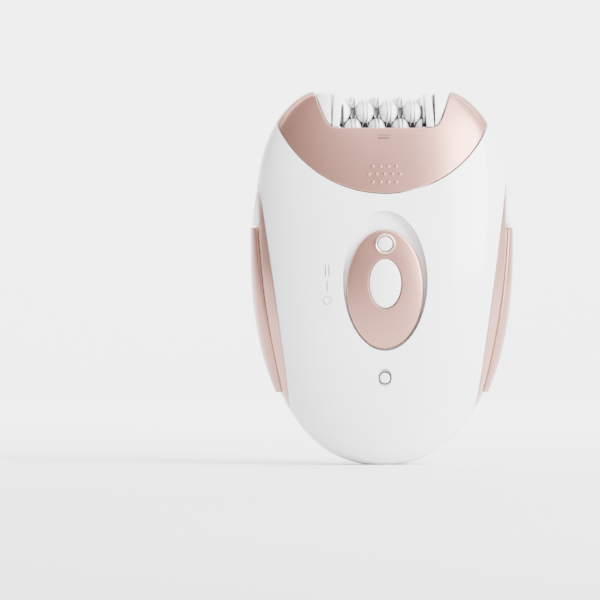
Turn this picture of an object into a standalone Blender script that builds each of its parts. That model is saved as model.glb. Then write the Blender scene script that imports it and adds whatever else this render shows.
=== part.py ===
"""A palm-sized rechargeable epilator with a lift-off tweezer head.

The part stands on its rounded end with the head up: +Z is up, -Y is the front with the slide switch, and the
origin is the middle of the small flat foot around the charging inlet. Every size below is in millimetres, and
MM turns millimetres into Blender's metres.
"""

import math

import bmesh
import bpy
import numpy as np
from mathutils import Matrix, Vector

MM = 0.001
GAP = 0.3  # between two pieces that touch on the real object

# Body outline. Front view: a superellipse above and below the widest height. Side view: a tapering crown.
TOP_Z = 118.1
WIDEST_Z = 70.0
HALF_WIDTH = 40.3
WIDTH_UPPER = (52.0, 2.9)  # reach in z, exponent
WIDTH_LOWER = (70.25, 2.28)
THICKEST_Z = 55.0
HALF_DEPTH = 21.5
DEPTH_TAPER = 0.00365  # mm lost per mm squared above the thickest height
DEPTH_LOWER = (56.0, 2.3)
SECTION_EXPONENT = 2.4
CROWN_RADIUS = 2.0
AROUND = 32
UPWARD = 16
WALL = 2.0

# The cylinder, parallel to Y, on which the head meets the body.
SEAT_Z = 122.0
SEAT_RADIUS = 36.3
HEAD_TRAVEL = 30.0

# Side inlays: the body is sliced at +-side_line(z), and the raised panel starts at +-panel_line(z).
SIDE_LOW = (19.2, 29.5)  # z, x
SIDE_HIGH = (90.5, 39.3)
PANEL_CURVE = (37.5, 0.1232, -0.001967)  # x at z = PANEL_MID_Z, slope, bend
PANEL_MID_Z = 55.0
GRIP_Z = (22.9, 75.1)
BUTTON_Z = (75.6, 86.2)
GRIP_PROUD = 1.4
GRIP_SHIFT = 1.0  # how far outside the panel line its edge lies
BUTTON_PROUD = 1.1
BUTTON_SLOPE = ((76.0, 41.35), (86.0, 39.95))  # its outer face runs in to the body at the top
BUTTON_TRAVEL = 1.6

# Oval switch recess and slider in the front shell.
RECESS_Z = 58.1
RECESS_HALF = (13.3, 22.0)
RECESS_FLOOR_Y = -17.4
RECESS_FLOOR = 1.4
SLIDER_Z = 55.5
SLIDER_HALF = (12.1, 18.8)
SLIDER_TRAVEL = 5.0
SAFETY_Z = 57.3
SAFETY_HALF = (5.0, 7.7)
SAFETY_TRAVEL = 0.8
LAMP_Z = 69.7
LED_Z = LAMP_Z + 2.5  # behind the lens once the slide is at its first step
LAMP_RADIUS = 2.3
COLLAR_RADIUS = 3.3
INDICATOR_Z = 27.6
INDICATOR_RADIUS = 1.7

# Tweezer drum and its gear train, all in the plane y = 0.
DRUM_Z = 108.5
LOBE_RADIUS = 8.2
HUB_RADIUS = 5.4
PLATE_RADIUS = 7.7
UNIT_PITCH = 3.75
TWEEZER_PAIRS = 6
TWEEZER_HALF_GAP = 0.55
PLATE_THICKNESS = 0.3
LOBE_HALF_LENGTH = 2.75
LOBE_HALF_ANGLE = 36.0
FIRST_LOBE_ANGLE = 33.0
DRUM_END = 12.9
AXLE_RADIUS = 1.5
MODULE = 0.5
DRUM_TEETH = 24
IDLER_TEETH = 10
SHAFT_TEETH = 14
CROWN_TEETH = 20
MOTOR_TEETH = 8
GEAR_X = (16.9, 19.1)
IDLER_Z = DRUM_Z - MODULE * (DRUM_TEETH + IDLER_TEETH) / 2
SHAFT_Z = IDLER_Z - MODULE * (IDLER_TEETH + SHAFT_TEETH) / 2
CROWN_BAND = (4.6, 5.5)  # radii between which the crown teeth stand
BACKLASH = 0.10

# Opening in the head, and the two guard plates beside the drum.
NOTCH = ((21.7, 119.5), (21.2, 116.5), (19.9, 112.6), (18.6, 109.3), (17.4, 107.4), (15.9, 106.4))
NUB_Z = 91.6
NUB_PITCH = 2.44
NUB_RADIUS = 0.55
NUB_PROUD = 0.4
GUARD_X = (13.9, 16.1)
GUARD_LEAN = 0.06
GUARD_Z = 106.0

# Works inside the body.
MOTOR_RADIUS = 10.5
MOTOR_Z = (50.0, 80.0)
MOTOR_SHAFT_RADIUS = 1.0
BATTERY_Z = 27.0
BATTERY_RADIUS = 7.0
BATTERY_HALF_LENGTH = 24.0
BOARD_Y = (-13.9, -12.7)
SCREWS = ((-21.0, 43.5), (21.0, 43.5), (-21.0, 77.0), (21.0, 77.0))
SCREW_HEAD_Y = 13.0

COLOURS = {  # red, green, blue, metallic, roughness
    "white": (0.90, 0.90, 0.90, 0.0, 0.3),
    "rose_gold": (0.72, 0.48, 0.41, 0.7, 0.35),
    "grey_plastic": (0.45, 0.46, 0.47, 0.0, 0.5),
    "dark_plastic": (0.05, 0.05, 0.055, 0.0, 0.5),
    "steel": (0.62, 0.62, 0.63, 1.0, 0.3),
    "brass": (0.75, 0.57, 0.27, 1.0, 0.35),
    "nylon": (0.86, 0.85, 0.80, 0.0, 0.45),
    "clear": (0.92, 0.94, 0.95, 0.0, 0.1),
    "board": (0.03, 0.22, 0.10, 0.0, 0.5),
    "cell_wrap": (0.10, 0.25, 0.45, 0.0, 0.4),
}


# ---------------------------------------------------------------- outline of the body


def half_width(z):
    """Half the body's width at height z."""
    reach, power = WIDTH_UPPER if z >= WIDEST_Z else WIDTH_LOWER
    share = min(abs(z - WIDEST_Z) / reach, 1.0)
    return HALF_WIDTH * (1 - share**power) ** (1 / power)


def half_depth(z):
    """Half the body's depth at height z."""
    if z > THICKEST_Z:
        return HALF_DEPTH - DEPTH_TAPER * (z - THICKEST_Z) ** 2
    reach, power = DEPTH_LOWER
    share = min((THICKEST_Z - z) / reach, 1.0)
    return HALF_DEPTH * (1 - share**power) ** (1 / power)


def surface_depth(x, z):
    """Depth of the body's surface in front of the point (x, z)."""
    share = min(abs(x) / half_width(z), 1.0) ** SECTION_EXPONENT
    return half_depth(z) * (1 - share) ** (1 / SECTION_EXPONENT)


def offset_outline(outline, offset, heights):
    """The outline's half size at each height, moved out by offset along its own normal."""
    z = np.linspace(0.0, TOP_Z, 400)
    size = np.array([outline(h) for h in z])
    slope = np.gradient(size, z)
    length = np.sqrt(1 + slope**2)
    moved_z = z - offset * slope / length
    moved = size + offset / length
    order = np.argsort(moved_z)
    return np.interp(heights, moved_z[order], moved[order])


def side_line(z):
    """x of the flat slice where the front and rear shells end and the side trim begins."""
    (z0, x0), (z1, x1) = SIDE_LOW, SIDE_HIGH
    return x0 + (z - z0) * (x1 - x0) / (z1 - z0)


def panel_edge(z):
    """Where the panel line meets the surface, seen from the side."""
    return half_depth(z) * (1.0 - (panel_line(z) / half_width(z)) ** SECTION_EXPONENT) ** (1.0 / SECTION_EXPONENT)


def panel_line(z):
    """x of the edge of the raised side panel."""
    middle, slope, bend = PANEL_CURVE
    rise = z - PANEL_MID_Z
    return middle + slope * rise + bend * rise**2


# ---------------------------------------------------------------- mesh helpers


def new_object(name, vertices, faces):
    """An object from millimetre vertices, with its faces turned outwards."""
    mesh = bpy.data.meshes.new(name)
    mesh.from_pydata([Vector(v) * MM for v in vertices], [], faces)
    shape = bmesh.new()
    shape.from_mesh(mesh)
    bmesh.ops.recalc_face_normals(shape, faces=shape.faces)
    shape.to_mesh(mesh)
    shape.free()
    made = bpy.data.objects.new(name, mesh)
    bpy.context.scene.collection.objects.link(made)
    return made


def combine(target, other, operation):
    """Applies a Boolean of target with other, and removes other."""
    modifier = target.modifiers.new(operation, "BOOLEAN")
    modifier.operation = operation
    modifier.solver = "EXACT"
    modifier.object = other
    bpy.context.view_layer.update()
    graph = bpy.context.evaluated_depsgraph_get()
    target.data = bpy.data.meshes.new_from_object(target.evaluated_get(graph))
    target.modifiers.clear()
    bpy.data.objects.remove(other)
    return target


def cut(target, *cutters):
    for cutter in cutters:
        combine(target, cutter, "DIFFERENCE")
    return target


def keep(target, *regions):
    for region in regions:
        combine(target, region, "INTERSECT")
    return target


def add(target, *others):
    for other in others:
        combine(target, other, "UNION")
    return target


def box(x, y, z):
    """A box from three (low, high) pairs."""
    corners = [(i, j, k) for i in x for j in y for k in z]
    faces = [(0, 1, 3, 2), (4, 6, 7, 5), (0, 4, 5, 1), (2, 3, 7, 6), (0, 2, 6, 4), (1, 5, 7, 3)]
    return new_object("box", corners, faces)


def prism(outline, axis, low, high):
    """An outline drawn in the plane across axis, extruded from low to high along it."""
    count = len(outline)

    def place(a, b, c):
        return {"x": (c, a, b), "y": (a, c, b), "z": (a, b, c)}[axis]

    vertices = [place(a, b, level) for level in (low, high) for a, b in outline]
    faces = [tuple(range(count)), tuple(range(count, 2 * count))]
    faces += [(i, (i + 1) % count, count + (i + 1) % count, count + i) for i in range(count)]
    return new_object("prism", vertices, faces)


def oval(centre, halves, count):
    """Points of an ellipse."""
    turns = [2 * math.pi * (i + 0.5) / count for i in range(count)]
    return [(centre[0] + halves[0] * math.cos(t), centre[1] + halves[1] * math.sin(t)) for t in turns]


def rod(axis, centre, radius, low, high, count=12):
    """A round bar along axis, through centre given in the other two coordinates."""
    return prism(oval(centre, (radius, radius), count), axis, low, high)


def turned(profile, centre, count):
    """A closed (x, radius) profile turned about an axis along X through centre (y, z)."""
    around = [2 * math.pi * i / count for i in range(count)]
    points = len(profile)
    vertices = [
        (x, centre[0] + radius * math.cos(turn), centre[1] + radius * math.sin(turn))
        for turn in around
        for x, radius in profile
    ]
    faces = []
    for i in range(count):
        here, there = i * points, (i + 1) % count * points
        for j in range(points):
            k = (j + 1) % points
            faces.append((here + j, here + k, there + k, there + j))
    return new_object("turned", vertices, faces)


def body_form(offset=0.0, low=None, high=None):
    """The whole body's outer form moved out by offset, as a closed solid between two heights."""
    low = max(0.0, -offset) if low is None else low
    high = TOP_Z + min(offset, 0.0) if high is None else high
    levels = [TOP_Z * (1 - math.cos(math.pi * i / UPWARD)) / 2 for i in range(UPWARD + 1)]
    levels = [low] + [z for z in levels if low + 0.4 < z < high - 0.4] + [high]
    widths = offset_outline(half_width, offset, levels)
    depths = offset_outline(half_depth, offset, levels)
    power = 2 / SECTION_EXPONENT
    vertices = []
    for z, width, depth in zip(levels, widths, depths):
        crown = CROWN_RADIUS - (TOP_Z - z) if offset >= 0 else 0.0
        if crown > 0:
            depth -= CROWN_RADIUS - math.sqrt(max(CROWN_RADIUS**2 - crown**2, 0.0))
        for i in range(AROUND):
            c, s = math.cos(2 * math.pi * i / AROUND), math.sin(2 * math.pi * i / AROUND)
            x = width * math.copysign(abs(c) ** power, c)
            y = depth * math.copysign(abs(s) ** power, s)
            vertices.append((x, y, z))
    count = len(levels)
    faces = [tuple(range(AROUND)), tuple(range((count - 1) * AROUND, count * AROUND))]
    for k in range(count - 1):
        for i in range(AROUND):
            a, b = k * AROUND + i, k * AROUND + (i + 1) % AROUND
            faces.append((a, b, b + AROUND, a + AROUND))
    return new_object("form", vertices, faces)


def hollow_form(wall=WALL):
    return cut(body_form(), body_form(-wall))


def seat(radius):
    """The cylinder along Y on which the head sits."""
    return prism(oval((0.0, SEAT_Z), (radius, radius), 60), "y", -60.0, 60.0)


def outside_line(line, side, shift, low, high, steps=1):
    """The region beyond a line x = line(z) + shift, on one side of the body."""
    heights = [low + (high - low) * i / steps for i in range(steps + 1)]
    outline = [(side * (line(z) + shift), z) for z in heights] + [(side * 60.0, high), (side * 60.0, low)]
    return prism(outline, "y", -60.0, 60.0)


def notch(shrink=0.0):
    """The opening through the head, seen from the front, made smaller all round by shrink."""
    right = [(x - shrink, z + (shrink if z < TOP_Z else 0.0)) for x, z in NOTCH]
    outline = right + [(-x, z) for x, z in reversed(right)]
    return prism(outline, "y", -60.0, 60.0)


# ---------------------------------------------------------------- gears


def involute(angle):
    return math.tan(angle) - angle


def gear_outline(teeth, turn=0.0, addendum=0.8, dedendum=1.15):
    """Points (angle, radius) round a stub-tooth involute gear, with a tooth centred at turn."""
    pressure = math.radians(20)
    pitch = MODULE * teeth / 2
    base = pitch * math.cos(pressure)
    half_pitch_angle = math.pi / (2 * teeth) - BACKLASH / (2 * pitch) + involute(pressure)
    radii = [pitch - dedendum * MODULE, pitch + addendum * MODULE]
    halves = [half_pitch_angle - involute(math.acos(min(1.0, base / r))) for r in radii]
    points = []
    for i in range(teeth):
        middle = turn + 2 * math.pi * i / teeth
        points += [(middle - half, r) for half, r in zip(halves, radii)]
        points += [(middle + half, r) for half, r in reversed(list(zip(halves, radii)))]
    return points


def spur_gear(axis, centre, teeth, turn, low, high, bore):
    """A spur gear whose axis runs along the X or Z axis."""
    outline = [
        (centre[0] + r * math.cos(a), centre[1] + r * math.sin(a)) for a, r in gear_outline(teeth, turn)
    ]
    return cut(prism(outline, axis, low, high), rod(axis, centre, bore, low - 1, high + 1))


def crown_gear():
    """A face gear on the cross shaft: straight teeth on its left face, in mesh with the motor pinion."""
    pitch_x = MODULE * MOTOR_TEETH / 2
    tip_x, root_x, back_x = pitch_x - 0.38, pitch_x + 0.62, pitch_x + 2.0
    inner, outer = CROWN_BAND
    profile = [(root_x, MOTOR_SHAFT_RADIUS + 0.05), (root_x, outer), (back_x, outer)]
    profile += [(back_x, 2.4), (back_x + 1.6, 2.4), (back_x + 1.6, MOTOR_SHAFT_RADIUS + 0.05)]
    gear = turned(profile, (0.0, SHAFT_Z), CROWN_TEETH)
    vertices, faces = [], []
    for i in range(CROWN_TEETH):
        turn = Matrix.Rotation(2 * math.pi * i / CROWN_TEETH, 3, "X")
        first = len(vertices)
        for radius in (inner, outer):
            for x, half in ((tip_x, 0.19), (root_x + 0.2, 0.44), (root_x + 0.2, -0.44), (tip_x, -0.19)):
                vertices.append(turn @ Vector((x, half, -radius)) + Vector((0, 0, SHAFT_Z)))
        faces.append(tuple(range(first, first + 4)))
        faces.append(tuple(range(first + 4, first + 8)))
        faces += [(first + j, first + (j + 1) % 4, first + 4 + (j + 1) % 4, first + 4 + j) for j in range(4)]
    return add(gear, new_object("teeth", vertices, faces))


# ---------------------------------------------------------------- tidy-up and naming


def material(name):
    found = bpy.data.materials.get(name)
    if found:
        return found
    red, green, blue, metallic, roughness = COLOURS[name]
    found = bpy.data.materials.new(name)
    found.use_nodes = True
    shader = found.node_tree.nodes["Principled BSDF"]
    shader.inputs["Base Color"].default_value = (red, green, blue, 1.0)
    shader.inputs["Metallic"].default_value = metallic
    shader.inputs["Roughness"].default_value = roughness
    return found


def name_piece(piece, name, colour, frame=None):
    """Names a finished piece, gives it its material and hangs it on its body's empty."""
    piece.name = name
    piece.data.name = name
    piece.data.materials.clear()
    piece.data.materials.append(material(colour))
    piece.data.shade_smooth()
    piece.data.set_sharp_from_angle(angle=math.radians(30))
    if frame is not None:
        piece.data.transform(Matrix.Translation(-frame.location))
        piece.parent = frame
    return piece


def empty(name, point):
    """An empty on a joint's axis, which that joint's pieces hang on."""
    made = bpy.data.objects.new(name, None)
    made.location = Vector(point) * MM
    bpy.context.scene.collection.objects.link(made)
    return made


# ---------------------------------------------------------------- body shells and side inlays


def body_shell(side):
    """The front (-1) or rear (+1) half of the white casing."""
    shell = hollow_form()
    if side < 0:
        halves = [h + RECESS_FLOOR for h in RECESS_HALF]
        cup = prism(oval((0.0, RECESS_Z), halves, 40), "y", -40.0, RECESS_FLOOR_Y + RECESS_FLOOR)
        add(shell, keep(cup, body_form()))
        cut(shell, prism(oval((0.0, RECESS_Z), RECESS_HALF, 40), "y", -60.0, RECESS_FLOOR_Y))
        cut(shell, box((-1.8, 1.8), (-30.0, -10.0), (52.6, 62.6)))
        cut(shell, box((-1.6, 1.6), (-30.0, -10.0), (LED_Z - 1.8, LED_Z + 1.8)))
        cut(shell, rod("y", (0.0, INDICATOR_Z), INDICATOR_RADIUS + GAP, -30.0, -10.0, 16))
        for x, z in SCREWS:
            boss = keep(rod("y", (x, z), 2.6, -30.0, -0.3), body_form(-0.5))
            add(shell, cut(boss, rod("y", (x, z), 1.2, -9.0, 1.0)))
    else:
        for x, z in SCREWS:
            boss = keep(rod("y", (x, z), 3.6, SCREW_HEAD_Y - 1.6, 30.0), body_form(-0.5))
            add(shell, boss)
            cut(shell, rod("y", (x, z), 2.6, SCREW_HEAD_Y, 40.0))
            cut(shell, rod("y", (x, z), 1.5, 5.0, 40.0))
    cut(shell, seat(SEAT_RADIUS + GAP))
    for lateral in (-1, 1):
        cut(shell, outside_line(side_line, lateral, 0.0, 10.0, 100.0), stem_window(lateral))
        cut(shell, button_well(lateral, 36.4))
    cut(shell, rod("z", (0.0, 0.0), 2.9, -5.0, 5.0, 16))
    low, high = (-60.0, -GAP / 2) if side < 0 else (GAP / 2, 60.0)
    return keep(shell, box((-60.0, 60.0), (low, high), (-1.0, 130.0)))


def stem_window(side):
    """The hole in the casing's side that the release button's stem passes through."""
    return box(sorted((side * 33.0, side * 60.0)), (-4.4, 4.4), (76.1, 85.9))


def button_well(side, floor_x, gap=GAP):
    """The region outside floor_x that the release button fills, seen from the side, grown by gap."""
    low, high = BUTTON_Z
    heights = [low + (high - low) * i / 4 for i in range(5)]
    edge = [(panel_edge(z) + gap, z) for z in heights]
    edge[0], edge[-1] = (edge[0][0], low - gap), (edge[-1][0], high + gap)
    outline = edge + [(-y, z) for y, z in reversed(edge)]
    return prism(outline, "x", *sorted((side * floor_x, side * 60.0)))


def side_trim(side):
    """The rose-gold leaf that closes the casing's side, with a window for the release button."""
    trim = keep(hollow_form(), outside_line(side_line, side, GAP, 10.0, 100.0))
    return cut(trim, button_well(side, 30.0))


def side_grip(side):
    """The raised panel on the trim's lower part."""
    form = cut(body_form(GRIP_PROUD, 15.0, 95.0), body_form(GAP, 14.0, 96.0))
    return keep(form, outside_line(panel_line, side, GRIP_SHIFT, *GRIP_Z, 8))


def release_button(side):
    """A cap that fills the trim's window, on a flange that is wider than the window."""
    button = keep(body_form(BUTTON_PROUD, 15.0, 95.0), outside_line(panel_line, side, 0.0, *BUTTON_Z, 4))
    keep(button, button_well(side, 30.0, 0.0))
    cut(button, outside_line(button_face, side, 0.0, 70.0, 95.0))
    stem_x = sorted((side * 33.8, side * 39.9))
    flange_x = sorted((side * 32.6, side * 34.4))
    add(button, box(stem_x, (-4.0, 4.0), (76.5, 85.5)))
    return add(button, box(flange_x, (-7.2, 7.2), (74.4, 88.0)))


def button_face(z):
    """x of the release button's sloping outer face."""
    (z0, x0), (z1, x1) = BUTTON_SLOPE
    return x0 + (z - z0) * (x1 - x0) / (z1 - z0)


def coil_spring(side):
    """A small compression spring between the release button and its seat."""
    turns, steps, radius = 4, 8, 1.7
    start, end = side * 27.0, side * 32.0
    count = turns * steps
    curve = bpy.data.curves.new("spring", "CURVE")
    curve.dimensions = "3D"
    curve.bevel_depth = 0.25 * MM
    curve.bevel_resolution = 0
    curve.use_fill_caps = True
    spline = curve.splines.new("POLY")
    spline.points.add(count)
    for i, point in enumerate(spline.points):
        turn = 2 * math.pi * i / steps
        x = start + (end - start) * i / count
        y, z = radius * math.cos(turn), 80.0 + radius * math.sin(turn)
        point.co = (x * MM, y * MM, z * MM, 1.0)
    made = bpy.data.objects.new("spring", curve)
    bpy.context.scene.collection.objects.link(made)
    bpy.context.view_layer.update()
    graph = bpy.context.evaluated_depsgraph_get()
    mesh = bpy.data.meshes.new_from_object(made.evaluated_get(graph))
    bpy.data.objects.remove(made)
    shape = bmesh.new()
    shape.from_mesh(mesh)
    bmesh.ops.remove_doubles(shape, verts=shape.verts, dist=0.01 * MM)
    bmesh.ops.recalc_face_normals(shape, faces=shape.faces)
    shape.to_mesh(mesh)
    shape.free()
    spring = bpy.data.objects.new("spring", mesh)
    bpy.context.scene.collection.objects.link(spring)
    return spring


# ---------------------------------------------------------------- switch


def switch_slider():
    """The oval slide, crowned like the body, with the lamp's collar, a seat for the safety button and a stem."""
    back = RECESS_FLOOR_Y - GAP
    slide = prism(oval((0.0, SLIDER_Z), SLIDER_HALF, 40), "y", -40.0, back)
    keep(slide, body_form(0.2))
    add(slide, rod("y", (0.0, LAMP_Z), COLLAR_RADIUS, -half_depth(LAMP_Z) - 0.6, back - 0.5, 20))
    cut(slide, rod("y", (0.0, LAMP_Z), LAMP_RADIUS + GAP, -40.0, back - 0.9, 20))
    cut(slide, rod("y", (0.0, LAMP_Z), 1.5, -40.0, -10.0))
    seat_halves = [h + GAP for h in SAFETY_HALF]
    cut(slide, prism(oval((0.0, SAFETY_Z), seat_halves, 32), "y", -40.0, back - 1.4))
    cut(slide, box((-2.4, 2.4), (-20.0, -10.0), (58.6, 61.6)))
    return add(slide, box((-1.3, 1.3), (back - 0.5, -14.6), (53.2, 57.0)))


def safety_button():
    """The white oval in the middle of the slide: it is pressed before the slide will move."""
    button = prism(oval((0.0, SAFETY_Z), SAFETY_HALF, 32), "y", -40.0, RECESS_FLOOR_Y - 2.8)
    keep(button, body_form(0.5))
    return add(button, box((-1.8, 1.8), (-21.0, -18.3), (59.2, 61.0)))


def lamp_lens():
    """The clear dome over the work light."""
    front = -half_depth(LAMP_Z)
    lens = rod("y", (0.0, LAMP_Z), LAMP_RADIUS, front - 0.3, RECESS_FLOOR_Y - 1.6, 20)
    return add(lens, rod("y", (0.0, LAMP_Z), LAMP_RADIUS * 0.7, front - 0.8, front, 16))


# ---------------------------------------------------------------- works in the body


def seat_deck():
    """The curved plate under the head: holes for the motor shaft and the hooks, and a seat for each spring."""
    deck = cut(seat(SEAT_RADIUS + 3.2), seat(SEAT_RADIUS + 1.2))
    keep(deck, box((-34.2, 34.2), (-40.0, 40.0), (70.0, 104.0)), body_form(-WALL - GAP))
    cut(deck, rod("z", (0.0, 0.0), 3.0, 70.0, 100.0))
    for side in (-1, 1):
        cut(deck, box(sorted((side * 26.6, side * 30.4)), (-4.6, 4.6), (80.0, 110.0)))
        add(deck, box(sorted((side * 25.1, side * 26.2)), (-3.0, 3.0), (77.0, 94.5)))
    return deck


def motor_can():
    """The steel can, open at its upper end."""
    can = rod("z", (0.0, 0.0), MOTOR_RADIUS, *MOTOR_Z, 28)
    return cut(can, rod("z", (0.0, 0.0), MOTOR_RADIUS - 1.0, MOTOR_Z[0] + 1.0, MOTOR_Z[1] + 1.0, 28))


def motor_end_cap():
    """The plastic end bell that carries the shaft's upper bearing."""
    top = MOTOR_Z[1]
    cap = rod("z", (0.0, 0.0), MOTOR_RADIUS - 1.3, top - 3.0, top + 1.0, 24)
    add(cap, rod("z", (0.0, 0.0), 3.4, top + 0.5, top + 2.0, 16))
    return cut(cap, rod("z", (0.0, 0.0), MOTOR_SHAFT_RADIUS + GAP, top - 5.0, top + 5.0))


def motor_rotor():
    """The armature on its shaft."""
    rotor = rod("z", (0.0, 0.0), 7.2, MOTOR_Z[0] + 5.0, MOTOR_Z[1] - 6.0, 18)
    return add(rotor, rod("z", (0.0, 0.0), MOTOR_SHAFT_RADIUS, MOTOR_Z[0] + 2.0, 90.0))


def chassis():
    """The frame behind the works: a plate with a saddle for the motor and one for the battery."""
    plate = box((-16.0, 16.0), (8.0, 12.6), (20.0, 78.0))
    add(plate, box((-14.0, 14.0), (2.0, 9.0), (54.0, 60.0)), box((-14.0, 14.0), (2.0, 9.0), (70.0, 76.0)))
    cut(plate, rod("z", (0.0, 0.0), MOTOR_RADIUS + GAP, 40.0, 90.0, 28))
    return cut(plate, rod("x", (0.0, BATTERY_Z), BATTERY_RADIUS + 1.6, -40.0, 40.0, 24))


def battery():
    return rod("x", (0.0, BATTERY_Z), BATTERY_RADIUS, -BATTERY_HALF_LENGTH, BATTERY_HALF_LENGTH, 24)


def battery_tab(side):
    """A bent strip that touches one end of the cell."""
    near, far = side * (BATTERY_HALF_LENGTH + GAP), side * (BATTERY_HALF_LENGTH + 0.8)
    tab = box(sorted((near, far)), (-9.5, 2.5), (BATTERY_Z - 2.5, BATTERY_Z + 2.5))
    foot = box(sorted((far, side * 12.5)), (-9.5, -9.0), (BATTERY_Z - 1.5, BATTERY_Z + 1.5))
    return add(tab, foot)


def charging_socket():
    """The barrel-jack housing behind the hole in the foot, with its centre pin."""
    socket = box((-4.5, 4.5), (-4.5, 4.5), (3.0, 13.0))
    add(socket, rod("z", (0.0, 0.0), 2.6, 0.5, 4.0, 16))
    cut(socket, rod("z", (0.0, 0.0), 1.75, -1.0, 10.0, 16))
    return add(socket, rod("z", (0.0, 0.0), 0.6, 1.2, 11.0, 8))


def circuit_board():
    board = box((-14.0, 14.0), BOARD_Y, (36.0, 82.0))
    return cut(board, box((-2.0, 2.0), (-16.0, -10.0), (46.5, 49.5)))


def slide_switch():
    """The switch on the board that the slide's stem moves."""
    switch = box((-4.2, 4.2), (-15.7, BOARD_Y[0] - GAP), (51.0, 65.0))
    return cut(switch, box((-1.7, 1.7), (-17.0, -14.3), (52.8, 62.9)))


def shell_screw(x, z):
    """A pan-head screw driven from the rear into the front shell's boss."""
    screw = rod("y", (x, z), 2.2, SCREW_HEAD_Y + GAP, SCREW_HEAD_Y + 1.8, 12)
    add(screw, rod("y", (x, z), 0.95, -8.0, SCREW_HEAD_Y + 0.8, 8))
    cut(screw, box((x - 1.4, x + 1.4), (SCREW_HEAD_Y + 1.0, 20.0), (z - 0.3, z + 0.3)))
    return cut(screw, box((x - 0.3, x + 0.3), (SCREW_HEAD_Y + 1.0, 20.0), (z - 1.4, z + 1.4)))


# ---------------------------------------------------------------- head


def head_cover():
    """The rose-gold cap of the head, with the tweezer opening cut through it and grip nubs on its front."""
    cover = cut(keep(hollow_form(), seat(SEAT_RADIUS)), notch())
    for row, count in ((-1, 4), (0, 5), (1, 4)):
        for i in range(count):
            x, z = (i - (count - 1) / 2) * NUB_PITCH, NUB_Z + row * NUB_PITCH
            front = -surface_depth(x, z)
            add(cover, rod("y", (x, z), NUB_RADIUS, front - NUB_PROUD, front + 1.0, 6))
    return cover


def head_frame():
    """The white liner that closes the opening on both sides of the drum."""
    frame = body_form(-WALL - 0.35)
    add(frame, keep(notch(0.35), body_form(-0.5)))
    cut(frame, add(body_form(-WALL - 1.8), keep(notch(1.9), body_form(-2.15))))
    opening = GUARD_X[1] + 0.4
    cut(frame, box((-opening, opening), (-60.0, 60.0), (105.6, 130.0)))
    cut(frame, rod("x", (0.0, DRUM_Z), 6.9, 15.0, 19.6, 20))
    return keep(frame, seat(SEAT_RADIUS - 2.9), box((-60.0, 60.0), (-60.0, 60.0), (99.0, 130.0)))


def guard_plate(side):
    """The bearing plate beside the drum, whose edge shows in the opening as an upright bar."""
    slab = sorted((side * GUARD_X[0], side * GUARD_X[1]))
    heights = np.linspace(106.9, TOP_Z - 0.8, 6)
    depths = offset_outline(half_depth, -0.8, heights)
    widths = offset_outline(half_width, -0.8, heights)
    power = SECTION_EXPONENT
    edge = [d * (1 - (GUARD_X[1] / w) ** power) ** (1 / power) for d, w in zip(depths, widths)]
    right = [(7.0, 93.0 if side < 0 else 90.0), (7.0, 106.5)] + list(zip(edge, heights))
    outline = right + [(-y, z) for y, z in reversed(right)]
    plate = keep(prism(outline, "x", *slab), seat(SEAT_RADIUS - 2.8))
    for vertex in plate.data.vertices:
        vertex.co.x -= side * GUARD_LEAN * max(0.0, vertex.co.z - GUARD_Z * MM)
    cut(plate, rod("x", (0.0, DRUM_Z), AXLE_RADIUS + GAP, -30.0, 30.0))
    if side > 0:
        cut(plate, rod("x", (0.0, IDLER_Z), 0.9 + GAP, -30.0, 30.0))
        cut(plate, rod("x", (0.0, SHAFT_Z), MOTOR_SHAFT_RADIUS + GAP, -30.0, 30.0))
    return plate


def head_base():
    """The grey plate under the head: a window for the motor pinion, a bearing post and two hooks."""
    base = cut(seat(SEAT_RADIUS - 0.5), seat(SEAT_RADIUS - 2.4))
    keep(base, box((-31.6, 31.6), (-40.0, 40.0), (80.0, 103.0)), body_form(-WALL - 0.35))
    for side in (-1, 1):
        add(base, box(sorted((side * 27.2, side * 29.2)), (-4.0, 4.0), (85.0, 101.5)))
    add(base, box((-7.0, -5.0), (-3.0, 3.0), (87.0, SHAFT_Z + 2.6)))
    cut(base, rod("z", (0.0, 0.0), 3.4, 70.0, 90.0, 20))
    cut(base, box((GEAR_X[0] - 0.4, 21.5), (-4.4, 4.4), (86.0, 98.0)))
    return cut(base, rod("x", (0.0, SHAFT_Z), MOTOR_SHAFT_RADIUS + GAP, -9.0, -3.0))


def gear_plate():
    """The outer plate that carries the right-hand ends of the shafts."""
    plate = box((19.7, 21.1), (-3.6, 3.6), (91.6, 111.4))
    cut(plate, rod("x", (0.0, DRUM_Z), AXLE_RADIUS + GAP, 10.0, 30.0))
    cut(plate, rod("x", (0.0, IDLER_Z), 0.9 + GAP, 10.0, 30.0))
    return cut(plate, rod("x", (0.0, SHAFT_Z), MOTOR_SHAFT_RADIUS + GAP, 10.0, 30.0))


# ---------------------------------------------------------------- tweezer drum


def unit_x(i):
    """Middle of tweezer pair i. Pairs 0 and TWEEZER_PAIRS + 1 are the two half lobes at the drum's ends."""
    return (i - (TWEEZER_PAIRS + 1) / 2) * UNIT_PITCH


def unit_turn(i):
    """Angle of unit i's first lobe, measured up from the front."""
    return FIRST_LOBE_ANGLE - 60.0 * (i % 2)


def lobe_height(i, x, degrees):
    """How far, from 0 to 1, unit i's lobes stand out at x and an angle round the drum."""
    away = (degrees - unit_turn(i) + 60.0) % 120.0 - 60.0
    reach = ((x - unit_x(i)) / LOBE_HALF_LENGTH) ** 2 + (away / LOBE_HALF_ANGLE) ** 2
    return max(0.0, 1 - reach) ** 0.4


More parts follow.
